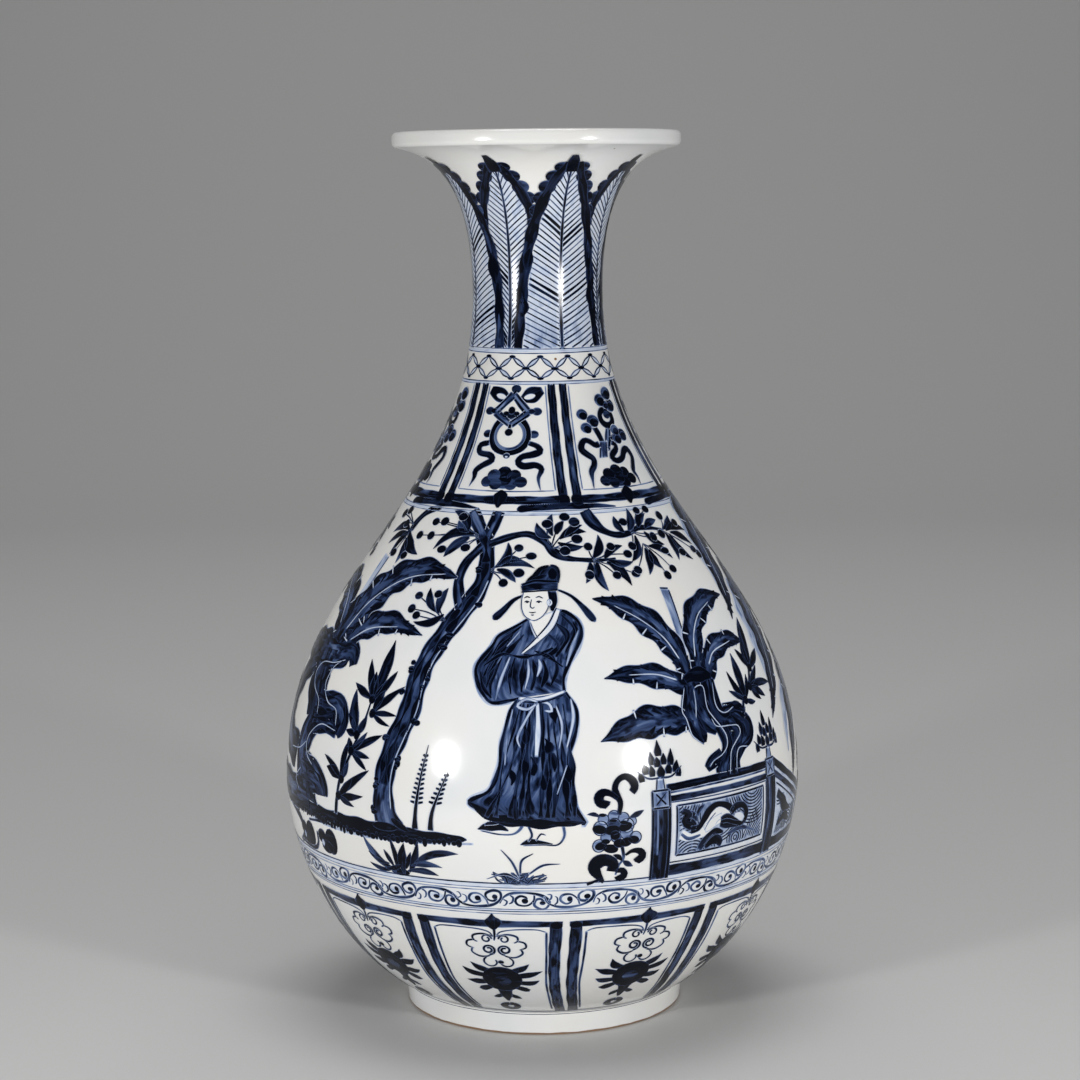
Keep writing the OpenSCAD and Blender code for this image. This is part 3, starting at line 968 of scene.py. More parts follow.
sprays = [
    ((-16.5, 158.6),
     [((-14.6, 159.6), (-11.4, 167), 3.4, -0.2), ((-14, 160), (-5.4, 161.4), 2.6, 0.2),
      ((-13, 159.8), (-1.8, 159.4), 2.6, 0.16), ((-14, 159), (-7.6, 155.2), 3, 0.12)],
     [(-7.4, 165.4), (-3, 163), (-6.8, 158), (-11.4, 155)]),
    ((-22, 168.6),
     [((-28, 169.4), (-37.2, 175.8), 3.8, -0.2), ((-25, 169.2), (-40.2, 163.8), 3.6, -0.22),
      ((-26.6, 168.2), (-34.4, 161.8), 4.2, -0.1), ((-28, 169.6), (-33.6, 173), 2.6, 0.1)],
     [(-32, 174.2), (-40, 172.3), (-44.6, 172), (-50, 167.4), (-44, 167.7), (-36.4, 164), (-27, 165)]),
    ((-26.6, 143),
     [((-29.4, 145), (-28.6, 152.8), 3.2, 0.12), ((-30.4, 145.6), (-34.8, 152.4), 3, 0.12),
      ((-27.6, 145), (-36.6, 142), 3, 0.16)], [(-38, 149.8), (-31.4, 150.8), (-38.8, 145.8), (-36.4, 144)]),
    ((-57, 170),
     [((-57, 168), (-46.4, 161.6), 4, -0.12), ((-57, 166), (-55.4, 158), 3, 0.1),
      ((-58, 168.4), (-70, 166.4), 3.4, -0.2), ((-58, 167.4), (-68, 163), 3, -0.14),
      ((-57, 168.6), (-62, 160), 2.8, -0.1)],
     [(-62.6, 170), (-70, 172.6), (-60, 161), (-53, 160.8), (-66, 174)]),
    ((3.6, 165),
     [((4, 168.4), (-1.2, 173), 3, 0.2), ((4.6, 169), (5, 175.6), 2.8, 0.14),
      ((6, 169.4), (9.4, 173.4), 3, 0.1), ((7, 168), (17.4, 169.8), 3.2, 0.16),
      ((6.4, 167), (15.4, 165.6), 2.8, -0.14), ((9, 168.6), (16.4, 172), 2.4, 0.1)],
     [(2.8, 172.6), (9.8, 174.6), (13.4, 173), (13.4, 167.8), (8.6, 164.4)]),
    ((18, 161.4),
     [((18, 162), (21.6, 168.8), 3.2, -0.14), ((22, 161.6), (30, 165), 3, 0.14),
      ((19, 160.8), (20.6, 152), 3.4, -0.12), ((22.4, 160.6), (28.6, 153), 3.4, 0.12),
      ((23, 161.2), (32, 160), 2.8, -0.12), ((16.6, 160.8), (14, 154.6), 2.8, 0.1)],
     [(17, 165.4), (25.4, 165), (15.6, 157), (24.6, 156.4), (31.4, 156.4), (31, 162.4)]),
]
right_sprays = [
    ((36, 168.8),
     [((33, 168.8), (30.6, 174), 3, 0.12), ((35, 169.2), (38.2, 176), 3.2, -0.14),
      ((40, 169.8), (46.8, 173.8), 3.2, 0.14), ((43, 169.4), (51.4, 171.4), 3, 0.1),
      ((42, 168.4), (49, 163.8), 3, -0.12), ((37, 167.6), (31.6, 160), 3, 0.14)],
     [(34, 172), (43, 175), (48.4, 175), (45.4, 166.6), (50.4, 167), (34, 164.6)]),
    ((39, 165),
     [((39, 163.6), (36.4, 155.6), 3, 0.1), ((40.6, 163), (42.4, 157), 3.2, -0.1),
      ((41, 164), (49.6, 159.4), 3, 0.16)], [(43.4, 154.8), (47, 156.4), (32.6, 157.4), (47.6, 162)]),
    ((52, 168),
     [((53, 168.4), (60.8, 172), 3.4, -0.14), ((54, 167.8), (67.6, 166.4), 3.2, 0.14),
      ((53, 167), (52.4, 158.6), 3, 0.1), ((55, 166.6), (60.4, 157.8), 3.2, -0.12),
      ((56, 167), (66, 162), 3, 0.1)],
     [(55, 172.4), (63, 169.4), (66.4, 158.8), (64.6, 160.6), (56.4, 160.6)]),
]
tree += [mark for spray in sprays for mark in leafy(*spray)]
right_branch = outlined([right_bough], 1.0, 0.99, 0.7)
right_branch += [mark for spray in right_sprays for mark in leafy(*spray)]
paint("tree", tree + right_branch)


# Rock and plantain at the left
# A pierced garden rock, drawn with fat strokes in dark and blue with thin lines left pale along its folds.
# Long torn plantain leaves arch out from behind it, with a young leaf still rolled up among them.
def plantain(path, rib, mid=(0.66, 0.5, 0.6, 0.66), lift=3):
    """A broad leaf: dark ragged border, streaky blue, side veins, slits, and a midrib left pale."""
    marks = outlined([path], 1.7, 1.0, mid, lift, uneven=0.12)
    rows, side = ribbon(path, 1.0)
    for k in range(3, len(rows) - 6, 3):
        for way in (-1, 1):
            end = rows[k + 3, :2] + way * side[k + 3] * 0.74
            start = rows[k, :2] + way * side[k] * hand.uniform(0.25, 0.6)
            marks.append(stroke([(*start, 0.4), (*end, hand.uniform(0.8, 2.2))], hand.uniform(0.86, 1), 0.75,
                                lift + 2))
        if k % 9 == 3:
            way = hand.choice([-1, 1])
            slit = [(*(rows[k, :2] + way * side[k] * 0.45), 0.3),
                    (*(rows[k, :2] + way * side[k] * 1.05), 0.6)]
            marks.append(stroke(slit, 0.1, 0.5, lift + 3, soft=0.1))
    if rib:
        marks.append(drawn(rib, (0.6, 0.5, 0.3), 0.15, 0.6, lift + 3, soft=0.15))
    return marks


def rockwork(paths, folds, lift=2):
    """All the fat strokes of a rock, joined into one shape, and its pale fold lines."""
    marks = outlined(paths, 1.7, (0.99, 0.94, 0.99), (0.6, 0.76, 0.5, 0.72), lift, uneven=0.07)
    for path in paths:
        for share in (-0.5, 0.4):
            line = beside(path, share + hand.uniform(-0.2, 0.2), hand.uniform(1.0, 2.2))
            marks.append(stroke(line, hand.uniform(0.72, 1, 4), 0.7, lift + 2, uneven=0.6))
    return marks + [drawn(fold, (0.36, 0.48, 0.36), 0.16, 0.7, lift + 3, soft=0.2) for fold in folds]


left_rock = rockwork([
    [(-93, 126, 2), (-85, 127.6, 11), (-72, 128.4, 14), (-62, 128.6, 13), (-56, 130, 10.5), (-53.4, 129.4, 7),
     (-52.2, 126.4, 4)],
    [(-67, 129, 16), (-66.4, 120, 16), (-64, 113, 15), (-62.6, 107, 13), (-65, 101, 11), (-66, 95, 12),
     (-63.6, 88, 17), (-64, 81, 21)],
    [(-64, 111.6, 12), (-58, 112, 11), (-53.6, 112.6, 11), (-52, 110, 11), (-51.6, 107.4, 9.4),
     (-52.4, 105, 7)],
    [(-64, 105.6, 9), (-57, 106.8, 7), (-51.6, 106, 6)],
    [(-66, 90, 15), (-60, 89, 12), (-57, 87.6, 11), (-55.6, 85.4, 9.6), (-55.4, 83.4, 8)],
    [(-73, 124, 10), (-79, 118, 12), (-82, 108, 12), (-79, 98, 12), (-70, 94, 13)],
    [(-96, 79.6, 2), (-86, 82, 11), (-72, 81, 12), (-61, 80.4, 8)],
], [
    [(-56, 127.4), (-61, 125.6), (-67, 124.6), (-69.4, 121), (-67, 116.6), (-62.6, 113.4), (-61.4, 108.8)],
    [(-57.4, 127), (-60.4, 124), (-61.4, 118.6), (-58, 113.8), (-53.6, 112), (-52.4, 107.2)],
    [(-52, 105.6), (-58, 106.4), (-62, 103.4), (-64, 99.4), (-63, 95), (-60, 92.4)],
    [(-64, 99.4), (-68, 96), (-74, 94.8)], [(-66, 90), (-69, 86), (-67, 82)],
])
left_leaves = [fill([(-67.6, 137.5), (-65.2, 160.3)], [(-65, 137.5), (-61.4, 159.4)], (0.26, 0.14, 0.24),
                    soft=0.3, lift=2), stroke([(-64.8, 140, 0.4), (-61.4, 159.4, 0.7)], 0.55, 0.15, lift=3)]
left_leaves += plantain([(-66, 133, 7), (-70, 141, 11), (-76, 147, 13), (-84, 150, 10), (-95, 147, 1.5)],
                        [(-68, 137), (-73, 144), (-82, 149.4)])
left_leaves += plantain([(-61, 130.6, 7), (-56.4, 136, 9), (-51.2, 139.4, 10), (-45, 140.9, 8.6),
                         (-38.6, 140, 5), (-32.3, 138.3, 0.4)], [(-58, 133.4), (-51, 138.2), (-41, 140)])
left_leaves += plantain([(-64.6, 132, 11), (-62, 140, 15), (-57.4, 147.4, 15), (-51, 153.4, 12.5),
                         (-44, 156.6, 10.5), (-36, 157.6, 7.6), (-26.6, 156, 0.8)],
                        [(-62.6, 136), (-58, 145), (-50.4, 151.8), (-42, 155.4), (-31, 156.8)])
paint("rock_and_plantain_left", left_leaves + left_rock)


# Bamboo and ground at the left
# Bamboo sprigs grow between rock and tree from a strip of earth with a ragged lower edge. Below it are two
# round weeds and a clump of blades, and beside the tree stand two spikes of seed.
def bamboo(stem, sprays):
    """A thin jointed stem and pointed leaves: each spray is a foot, and tips with their widths. The small
    leaves are drawn slimmer than the large ones."""
    marks = [drawn(stem, (1.7, 1.4, 0.8), 0.97, lift=3)]
    for foot, tips in sprays:
        marks.append(blob(foot, 1.4, 1.6, 0.97, 0.6, lift=5))
        for x, z, width in tips:
            tones = np.sort(hand.uniform(0.74, 1.1, 3))[::-1]
            press = width * min(1.1, 0.7 + 0.1 * width)
            marks.append(leaf(foot, (x, z), press, tones, lift=4, bend=hand.uniform(-0.07, 0.07)))
    return marks


left_bamboo = bamboo([(-49.8, 79), (-48.6, 90), (-45.6, 100), (-43, 110), (-42, 119)], [
    ((-42, 117.6),
     [(-40.2, 136, 4.2), (-46, 129.4, 3.1), (-36.5, 127, 3.2), (-49, 121.6, 2.8), (-43, 126, 3.4)]),
    ((-41, 113.4), [(-33.2, 122.8, 2.7), (-34, 113.6, 2.2), (-35.4, 110.2, 2), (-38.6, 121, 3)]),
    ((-44.6, 106), [(-47.9, 119.7, 4.2), (-48.6, 112, 2.4), (-48.4, 106.8, 2.6), (-42.4, 112.6, 3)]),
    ((-45.6, 100.6),
     [(-37, 107.2, 2.9), (-39.8, 99.4, 2.5), (-41.4, 107.4, 2.4), (-40.4, 95.4, 2.4), (-47, 104.6, 3)]),
    ((-48, 91), [(-46.6, 104, 3), (-54.8, 97.4, 2.6), (-53.6, 93.8, 3.6), (-46, 97, 2.6)]),
    ((-48.8, 85.4), [(-39.6, 95.6, 3), (-41, 86.8, 2.6), (-43.6, 82.8, 2.2), (-44.4, 92, 3)]),
])


def earth_strip(path):
    """A dark strip of earth with a row of dabs along its lower edge."""
    line = np.array(path, float)
    marks = [stroke(path, (0.96, 0.99), lift=2, uneven=0.1)]
    for x in np.arange(line[1, 0], line[-1, 0] - 0.6, 1.1):
        low = np.interp(x, line[:, 0], line[:, 1] - line[:, 2] / 2) + hand.uniform(-0.3, 0.7)
        marks.append(blob((x, low), hand.uniform(0.6, 1.2), hand.uniform(0.8, 1.6), 0.98, 0.6, lift=3))
    return marks


ground = [stroke([(-60, 74.6, 1.8), (-40, 74.2, 2), (-14.4, 75.6, 1.0)], 0.2)]
ground += earth_strip([(-90, 79.4, 0.6), (-78, 79, 5), (-66, 78.4, 5), (-55, 77.6, 4.6), (-45, 77.1, 5.4),
                       (-35, 77, 5), (-25, 76.9, 4), (-18, 76.9, 2.8), (-15.8, 76.9, 0.6)])
ground += [stroke([(-62, 73.5, 1), (-54, 74.8, 1.4), (-50, 73.4, 0.4)], 0.66),
           stroke([(-75, 76, 2), (-68, 72.6, 3), (-66, 67, 3.4), (-70, 63.4, 2)], (0.5, 0.9, 0.8)),
           stroke([(-70, 64.4, 1), (-62, 63.6, 1.6), (-59, 66, 1.4), (-58.4, 70.4, 1.4)], 0.9, lift=3)]
for x in (-63.4, -54):
    ground += [blob((x + 1.2, 68.4), 3.4, 4.6, 0.99, 0.5, lift=3),
               blob((x - 2.4, 69.4), 2.6, 2.6, 0.97, 0.5, lift=3),
               blob((x - 0.6, 66.2), 3.6, 2.4, 0.99, 0.6, lift=3),
               blob((x - 2.2, 67.2), 0.8, 1.4, 0.2, 0.6, lift=4)]
clump = [((-33, 63.4), (-41.4, 74.2), 3.4, 0.1), ((-34.6, 66), (-40.2, 69), 1.9, 0.1),
         ((-34, 64), (-40.2, 65.2), 2.2, 0.1), ((-33.4, 65), (-35.8, 70.6), 2.2, 0),
         ((-32.6, 64), (-34, 75), 2.6, -0.06), ((-31, 63), (-30.4, 73.8), 4.2, 0.06),
         ((-29.6, 64), (-27, 75), 3.2, -0.06), ((-28, 67.4), (-17.8, 71.9), 3.4, 0.1),
         ((-29, 66.4), (-21.6, 66.8), 2.6, 0.08), ((-30, 64.4), (-22.6, 63.9), 2.8, 0.08),
         ((-31.4, 66), (-36, 64), 2.2, 0.05), ((-30.4, 65), (-28.8, 71), 2.4, 0)]
blade_share = 0.82
blades = [blob((-32, 63.6), 3.6, 1.3, 0.97, 0.6, lift=2)]
for foot, tip, width, bend in clump:
    blades.append(leaf(foot, tip, width * blade_share, np.sort(hand.uniform(0.5, 1, 3))[::-1], 3, bend))


def seed_spike(stem, low, high, reach):
    """An upright stalk, thick at the foot, with pairs of short bristles over part of its height."""
    marks = [drawn(stem, (2.4, 1.5, 0.9, 0.3), 0.95, lift=4)]
    line = np.array(stem, float)
    for z in np.arange(low, high, 1.5):
        x = np.interp(z, line[:, 1], line[:, 0])
        span = reach * (1.15 - 0.75 * (z - low) / (high - low))
        marks += [stroke([(x, z - 0.2, 1.2), (x + way * span, z + 0.3, 0.8)], 0.95, lift=3)
                  for way in (-1, 1)]
    return marks


blades += seed_spike([(-27.4, 79), (-27.2, 85), (-26.4, 94), (-24.9, 106)], 87.6, 104, 1.3)
blades += seed_spike([(-23.8, 79), (-23.5, 84), (-22.2, 90), (-19.9, 98.5)], 88, 97.5, 1.3)
paint("ground_and_bamboo_left", left_bamboo + ground + blades)


# Scholar
# A standing figure in a long belted robe and a winged cap, hands joined in the sleeves. The robe is streaky
# blue with dark folds and thin lines left pale; the face is a plain, calm one in thin lines.
robe_left = [(-3.6, 144.4), (-8, 141.5), (-11, 139.4), (-12.4, 136.4), (-15.5, 131), (-15.3, 126.8),
             (-13.2, 122), (-11, 119.8), (-7, 120.6), (-4.8, 121.4)]
robe_right = [(4.2, 147), (7, 146.4), (10, 143.6), (10.5, 140), (8.5, 135), (6.5, 131), (5.2, 127),
              (5.2, 123.2)]
skirt_left = [(-5.4, 121), (-7, 117), (-8.5, 108), (-9, 100), (-11, 93), (-15.2, 89.2), (-12, 86),
              (-10.8, 84.6)]
skirt_right = [(5.5, 123), (7.6, 118), (7.5, 112), (5.5, 103), (6, 95), (6.6, 88), (8.7, 82.8), (8, 82.4)]
outlines = (robe_left, robe_right, skirt_left, skirt_right)
scholar = [drawn(outline, (1.6, 3, 2.4), 0.2, lift=0, uneven=0.1) for outline in outlines]
scholar += [fill(robe_right, robe_left, (0.56, 0.48, 0.54, 0.46), 0.4, soft=0.3),
            fill(skirt_right, skirt_left, (0.52, 0.44, 0.5, 0.66), 0.4, soft=0.3)]
for outline in outlines:
    scholar.append(drawn(outline, (1.0, 1.4, 1.1), hand.uniform(0.8, 1, 5), 0.5, lift=3, uneven=0.2))
hem = [(-15.2, 89.2), (-12.6, 86.6), (-10.6, 84.6), (-5, 83.2), (0, 82.6), (5, 82.6), (8.7, 82.9)]
scholar.append(drawn(hem, (0.6, 3.2, 3, 2.6, 0.6), 0.99, 0.6, lift=4, uneven=0.25))
sleeve_folds = [
    [(-5, 142.6), (-9, 138.6), (-13.6, 131.4)], [(-7, 140.4), (-10.4, 135), (-13.8, 127.4)],
    [(-8.4, 137), (-11.6, 131), (-12.8, 124)], [(-9.6, 133), (-11.8, 127), (-11.6, 121.6)],
    [(-4.4, 140), (-7.4, 136), (-9, 133.6)], [(-14.6, 129), (-13.6, 124.6), (-11.4, 121.2)],
    [(-6.4, 133.2), (-7.4, 128), (-7.0, 122.4)], [(-4.2, 133), (-4.4, 128), (-4.6, 123)],
    [(-2, 132.8), (-1.4, 128.4), (-2.4, 123.6)], [(0.4, 132.8), (1.2, 128.6), (0, 124.4)],
    [(2.6, 134.4), (3.8, 130), (2.2, 125)], [(5.6, 145.8), (8.8, 141), (6.0, 134.6)],
    [(3.4, 143.8), (6.8, 139.4), (3.6, 133.4)], [(1.4, 140.6), (4.4, 136.6), (0.4, 132.6)],
    [(8.6, 143.6), (9.4, 139.8), (6, 132.4)], [(-1.6, 135.2), (1.6, 133.6), (5.2, 130.4)],
    [(-4.8, 134.2), (-1, 134), (3, 136)], [(-8, 134), (-4, 133.4), (0, 134.6)],
    [(-14, 130.6), (-10, 134), (-7, 134)],
]
for fold in sleeve_folds:
    width = hand.uniform(0.9, 2.2)
    scholar.append(drawn(fold, (0.5, width, 0.6), hand.uniform(0.85, 1), 0.55, lift=4, uneven=0.3))
skirt_folds = [(-4.6, -8.2, -9.6), (-3.0, -4.6, -6.6), (-1.9, -2.6, -3.2), (0.2, 0.2, -0.4), (2.2, 3.4, 2.2),
               (3.6, 4.6, 5.2), (4.8, 6.2, 6.6), (-4, -6.4, -11.6), (-2.4, -3.4, -4.8), (1.2, 1.8, 1)]
for top, mid, low in skirt_folds:
    fold = [(top, 119.6), ((top + mid) / 2, 110), (mid, 101), ((mid + low) / 2, 92), (low, 84.6)]
    widths = (0.5, *hand.uniform(0.5, 2.0, 3), 2)
    scholar.append(drawn(fold, widths, hand.uniform(0.68, 1, 5), 0.5, lift=4, uneven=0.35))
dark_patches = [(-3.4, 110), (-2, 101), (2.6, 101), (-5.4, 88), (-2.2, 88.6), (3, 116), (0.4, 96), (5.6, 98),
                (-6.4, 97), (1, 107)]
for x, z in dark_patches:
    high, sway, low = hand.uniform(2, 4), hand.uniform(-0.6, 0.6), hand.uniform(2, 4)
    patch = [(x - 0.3, z + high), (x + sway, z), (x, z - low)]
    scholar.append(drawn(patch, (0.6, hand.uniform(2, 3.6), 0.8), 0.99, 0.7, lift=5, uneven=0.5))
pale_folds = [[(-7.6, 133.4), (-9.4, 127), (-10.4, 120.6)], [(-5.4, 141), (-8.6, 136.4)],
              [(-3.2, 132.8), (-3.0, 128.6), (-3.8, 123.8)], [(9.9, 141), (7.6, 135.6), (6.0, 130.6)],
              [(6.6, 121), (6.9, 115), (5.2, 106)], [(-1.0, 127.6), (-0.2, 130.6), (-0.6, 132.8)],
              [(-6.4, 118), (-7.4, 110), (-7.8, 101)], [(5.2, 101), (3, 92)],
              [(3.2, 119), (4.4, 113), (3.6, 106)]]
for fold in pale_folds:
    scholar.append(drawn(fold, (0.5, hand.uniform(0.8, 1.5), 0.4), hand.uniform(0.14, 0.3), 0.5, lift=5,
                         soft=0.35))
scholar.append(fill([(3.8, 147), (1, 140.4), (-0.4, 138.2)], [(-3.3, 144.2), (-2.2, 140.6), (-0.9, 138.0)],
                    0.0, 0.4, lift=4))
collar = swelling([(5, 147.4), (2.8, 142.6), (-0.8, 138.4), (-4.8, 134.3)], (1.4, 2.0, 1.5, 0.7))
scholar += [stroke(collar, 0.03, 0.5, lift=6), stroke(beside(collar, 1.1, 0.4), 0.7, 0.3, lift=7),
            stroke(beside(collar, -1.1, 0.5), 0.9, 0.3, lift=7),
            stroke([(-2.8, 143.6, 0.4), (-1.8, 141, 0.4), (-0.7, 138.8, 0.4)], 0.5, lift=7)]
sash = [([(-5.2, 121.2), (0, 121.1), (5.4, 123.2)], (1.0, 1.3, 0.9), 0.06),
        ([(-5.2, 120.3), (0, 120.1), (5.4, 122.3)], (0.5, 0.5), 0.85),
        ([(-0.9, 120), (-0.8, 112), (-1.2, 103.6)], (1.0, 1.9, 1.4), 0.1),
        ([(-0.2, 119.6), (0, 112), (-0.5, 103.6)], (0.3, 0.4), 0.8),
        ([(-1.2, 120), (-3.4, 115), (-5.2, 109.6), (-4.6, 106.4)], (0.8, 1.0, 0.5), 0.2),
        ([(-0.8, 120.2), (-3.4, 121), (-5.4, 119), (-3.2, 118), (-1, 119.6)], (0.7, 1.2, 0.7), 0.16),
        ([(-0.4, 120.2), (1.6, 119.6), (2.2, 117.4), (0.6, 117.6)], (0.7, 1.2, 0.6), 0.16)]
for k, (path, widths, tone) in enumerate(sash):
    scholar.append(drawn(path, widths, tone, 0.6, lift=6 + k % 2))
face_left = [(-4.9, 152.4), (-5.4, 150), (-5.2, 147.2), (-4.2, 145.2), (-2.4, 144.1)]
face_right = [(2.6, 152.4), (2.5, 150), (1.9, 147.4), (0.4, 145.2), (-1.4, 144.1)]
scholar += [fill(face_right, face_left, 0.0, lift=7, soft=0.05),
            drawn(face_left, (0.4, 0.45, 0.4), 0.6, lift=8),
            drawn(face_right[1:] + [(-2.4, 144.1)], (0.3, 0.45, 0.4), 0.6, lift=8)]
features = [[(-4.7, 150.6), (-3.9, 151), (-3.0, 150.7)], [(-1.4, 150.7), (-0.4, 151), (0.7, 150.5)],
            [(-4.6, 149.4), (-3.9, 149.7), (-3.1, 149.4)], [(-1.3, 149.4), (-0.5, 149.7), (0.4, 149.4)],
            [(-2.6, 150.2), (-2.9, 148.2), (-2.2, 147.6), (-1.7, 148)],
            [(-3.2, 146.5), (-2.3, 146.3), (-1.3, 146.5)], [(-2.7, 145.7), (-2.2, 145.6), (-1.8, 145.7)]]
scholar += [drawn(line, (0.28, 0.5, 0.28), 0.75, lift=9, spacing=0.4, soft=0.12) for line in features]
scholar += [blob((x, 149.4), 0.4, 0.38, 0.95, lift=9, soft=0.12) for x in (-3.8, -0.5)]
scholar += [fill([(4.8, 152.6), (4.9, 149.4), (3.6, 146.6)], [(2.0, 152.6), (2.4, 149.6), (2.6, 147)],
                 (0.97, 0.99, 0.85), lift=8),
            blob((2.5, 149.2), 0.9, 1.3, 0.06, 0.5, lift=9),
            stroke([(2.5, 150, 0.3), (2.8, 149.2, 0.3), (2.4, 148.6, 0.3)], 0.6, lift=10)]
crown_left = [(-4.6, 154.4), (-3.4, 156), (-1.6, 157.2), (0.2, 159.2), (2.8, 159.9)]
crown_right = [(5.2, 155), (5.6, 157), (5.3, 158.8), (4.4, 159.8), (3.2, 160)]
scholar += [fill(crown_left, crown_right, (0.8, 0.62, 0.85), lift=7, soft=0.3),
            drawn(crown_left, (0.9, 1.8, 1.2), 0.97, 0.6, lift=8),
            drawn(crown_right, (0.9, 1.7, 1), 0.98, 0.6, lift=8),
            blob((3.8, 157.6), 1.4, 2.4, 0.97, 0.6, lift=8),
            blob((-0.4, 156.6), 2.6, 0.8, 0.95, 0.6, lift=8, lean=20),
            stroke([(-5.6, 153.2, 2.2), (-2, 154, 2.9), (2, 154.2, 2.9), (5.2, 153.9, 2.5)],
                   (0.97, 0.66, 0.58, 0.9), 0.5, lift=9),
            stroke([(-5.6, 152.3, 0.5), (0, 152.7, 0.5), (5, 152.9, 0.7)], 0.97, 0.5, lift=10),
            stroke([(-5.7, 154.4, 0.9), (-2, 155.6, 1), (2, 155.5, 1), (5.3, 155.3, 0.9)], 0.98, 0.5,
                   lift=10)]
scholar += [drawn([(-5.3, 151.4), (-8, 149.8), (-10.6, 146.8), (-12.4, 144.9), (-13, 144.2)],
                  (0.8, 1.6, 2.7, 2.6, 0.8), 0.98, lift=3),
            drawn([(5.2, 153), (9, 151), (12, 147.6), (14.2, 144.2), (14.8, 143.2)],
                  (0.8, 1.3, 2.2, 2.6, 0.8), (0.95, 0.72, 0.85), lift=3)]
shoes = [([(-13.4, 80.6), (-11.4, 81.6), (-9, 81.6), (-7, 80.4)], (0.5, 2.9, 2.6, 0.6), 0.98),
         ([(-12, 82.2), (-9.6, 83.4), (-8, 84.4)], (0.9, 2.2, 1.2), 0.85),
         ([(-12.8, 80.2), (-9, 79.2), (-6, 79.4), (-4.4, 81.4), (-4.2, 83.4)], (0.5, 0.8, 1.6), 0.5),
         ([(-4.6, 75.9), (-2.6, 76.9), (-0.4, 76.6), (2, 76)], (0.4, 2.2, 1.6, 0.5), 0.98),
         ([(-3, 77), (-2.2, 79), (-2.9, 82)], (0.6, 0.9, 1.1), 0.7),
         ([(-1.4, 77.2), (-0.4, 79.4), (0.6, 79)], (0.5, 0.7, 0.3), 0.7),
         ([(-4, 75.6), (0, 75.9), (3, 75.8), (4.4, 78.6), (4.2, 82)], (0.4, 0.7, 1.2), 0.42)]
scholar += [drawn(path, widths, tone, lift=3) for path, widths, tone in shoes]
paint("scholar", scholar)


# Grass and curly plant
# A loose tuft of grass at the scholar's feet, and at their side a plant with thick rolled tips, tiers of
# petals and dark curls at its root.
tuft_count = 60
tuft_at = -6
tuft_foot = 62.6
tuft = []
for _ in range(tuft_count):
    foot = (tuft_at + hand.uniform(-2.8, 4.8), tuft_foot)
    tip = (tuft_at + hand.uniform(-5, 7), hand.uniform(63.6, 66.6))
    tuft.append(stroke(bowed(foot, tip, hand.uniform(-1.2, 1.2), 0.6), hand.uniform(0.45, 0.85), 0.35, 2))
for blade in ([(-5, 65), (-6.4, 70), (-8.7, 74.2)], [(-4.8, 66), (-4.4, 70.6), (-2, 73)],
              [(-3, 66), (0, 69), (3.6, 69.4)], [(-5, 64), (-8, 66), (-12, 64)]):
    tuft.append(drawn(blade, (0.8, 0.9, 0.3), hand.uniform(0.55, 0.75), lift=3))
curls = [([(15.8, 84.6), (16.2, 88.2), (15.5, 90.9), (15.1, 93.2), (15.9, 95.6), (17.5, 96.5), (19, 95),
           (19.4, 92.9), (18.7, 91.4)], (1.6, 2.0, 2.0, 2.2, 2.7, 2.4)),
         ([(15.6, 89.8), (14.2, 91.4), (12.7, 92), (11.7, 90.8), (11.8, 89), (12.9, 88.2), (13.3, 89.4)],
          (1.6, 2.2, 3, 3.2, 2.8)),
         ([(12.8, 62.4), (11.5, 65), (10.7, 67.4), (11.5, 69.6), (13.2, 70), (14.7, 68.6), (14.5, 66)],
          (1, 3.4, 4.4, 4.4, 4.0, 3.4)),
         ([(17.3, 71.2), (18.7, 72.4), (20.4, 72.2), (21.1, 70.6), (20.3, 69.2), (19.7, 70.2)],
          (0.8, 1.6, 2.4, 2.8, 2.4)),
         ([(15.4, 66), (16.7, 66.2), (17.3, 64.6), (16.3, 63.4), (15.8, 64.4)], (1.2, 2.2, 2.6, 2.4)),
         ([(9.2, 62.2), (10.6, 62.8), (12.6, 64)], (1.2, 0.9, 0.7))]
curly = [drawn([(16.4, 75), (16.9, 70.3), (16, 68), (15.3, 64.6)], (1.4, 1.0, 0.8), 0.6, lift=2)]
petals = [(12.5, 83.4, 1.9), (14.7, 84.3, 2), (16.8, 83.4, 2), (18.6, 82.2, 1.7), (14.8, 81.6, 2.2),
          (13.1, 77.6, 2), (17.4, 78.7, 2.3), (15.2, 77.4, 1.8), (11.6, 74.9, 2.3), (19.4, 76.8, 2.2),
          (11.9, 80.6, 2.6), (17.6, 81, 2.5)]
for x, z, size in petals:
    curly += [blob((x, z), size, 0.85 * size, hand.uniform(0.22, 0.42), 0.1, lift=2),
              circle((x, z), 0.9 * size, 0.4, 0.65, 0.3, lift=3)]
lobes = [(11.7, 80.2, 2.4, 1.5), (14.4, 79.8, 2.6, 1.7), (17.2, 80.6, 2.3, 1.5), (15, 78, 1.6, 1.6),
         (12, 74.8, 2, 1.4), (14.1, 73.7, 2.5, 1.5), (15.9, 75.3, 1.9, 1.5), (17.4, 75.6, 2.1, 1.6),
         (19, 76.2, 1.9, 1.3), (12.3, 84.8, 1.2, 0.6), (14.6, 82.8, 1.2, 0.6), (16.9, 82, 1.3, 0.7),
         (13, 76.2, 1.4, 0.9)]
for x, z, wide, high in lobes:
    curly.append(blob((x, z), wide, high, hand.uniform(1.15, 1.4), 0.45, lift=4, lean=hand.uniform(-14, 14)))
small_leaves = [((11.8, 84.2), (9.1, 85.2), 1.4), ((18.1, 83.4), (21.3, 85.4), 1.8),
                ((16.6, 69.4), (14.6, 71.6), 1.8), ((16.8, 69.3), (19.1, 67.2), 1.9)]
curly += [leaf(*sizes) for sizes in small_leaves]
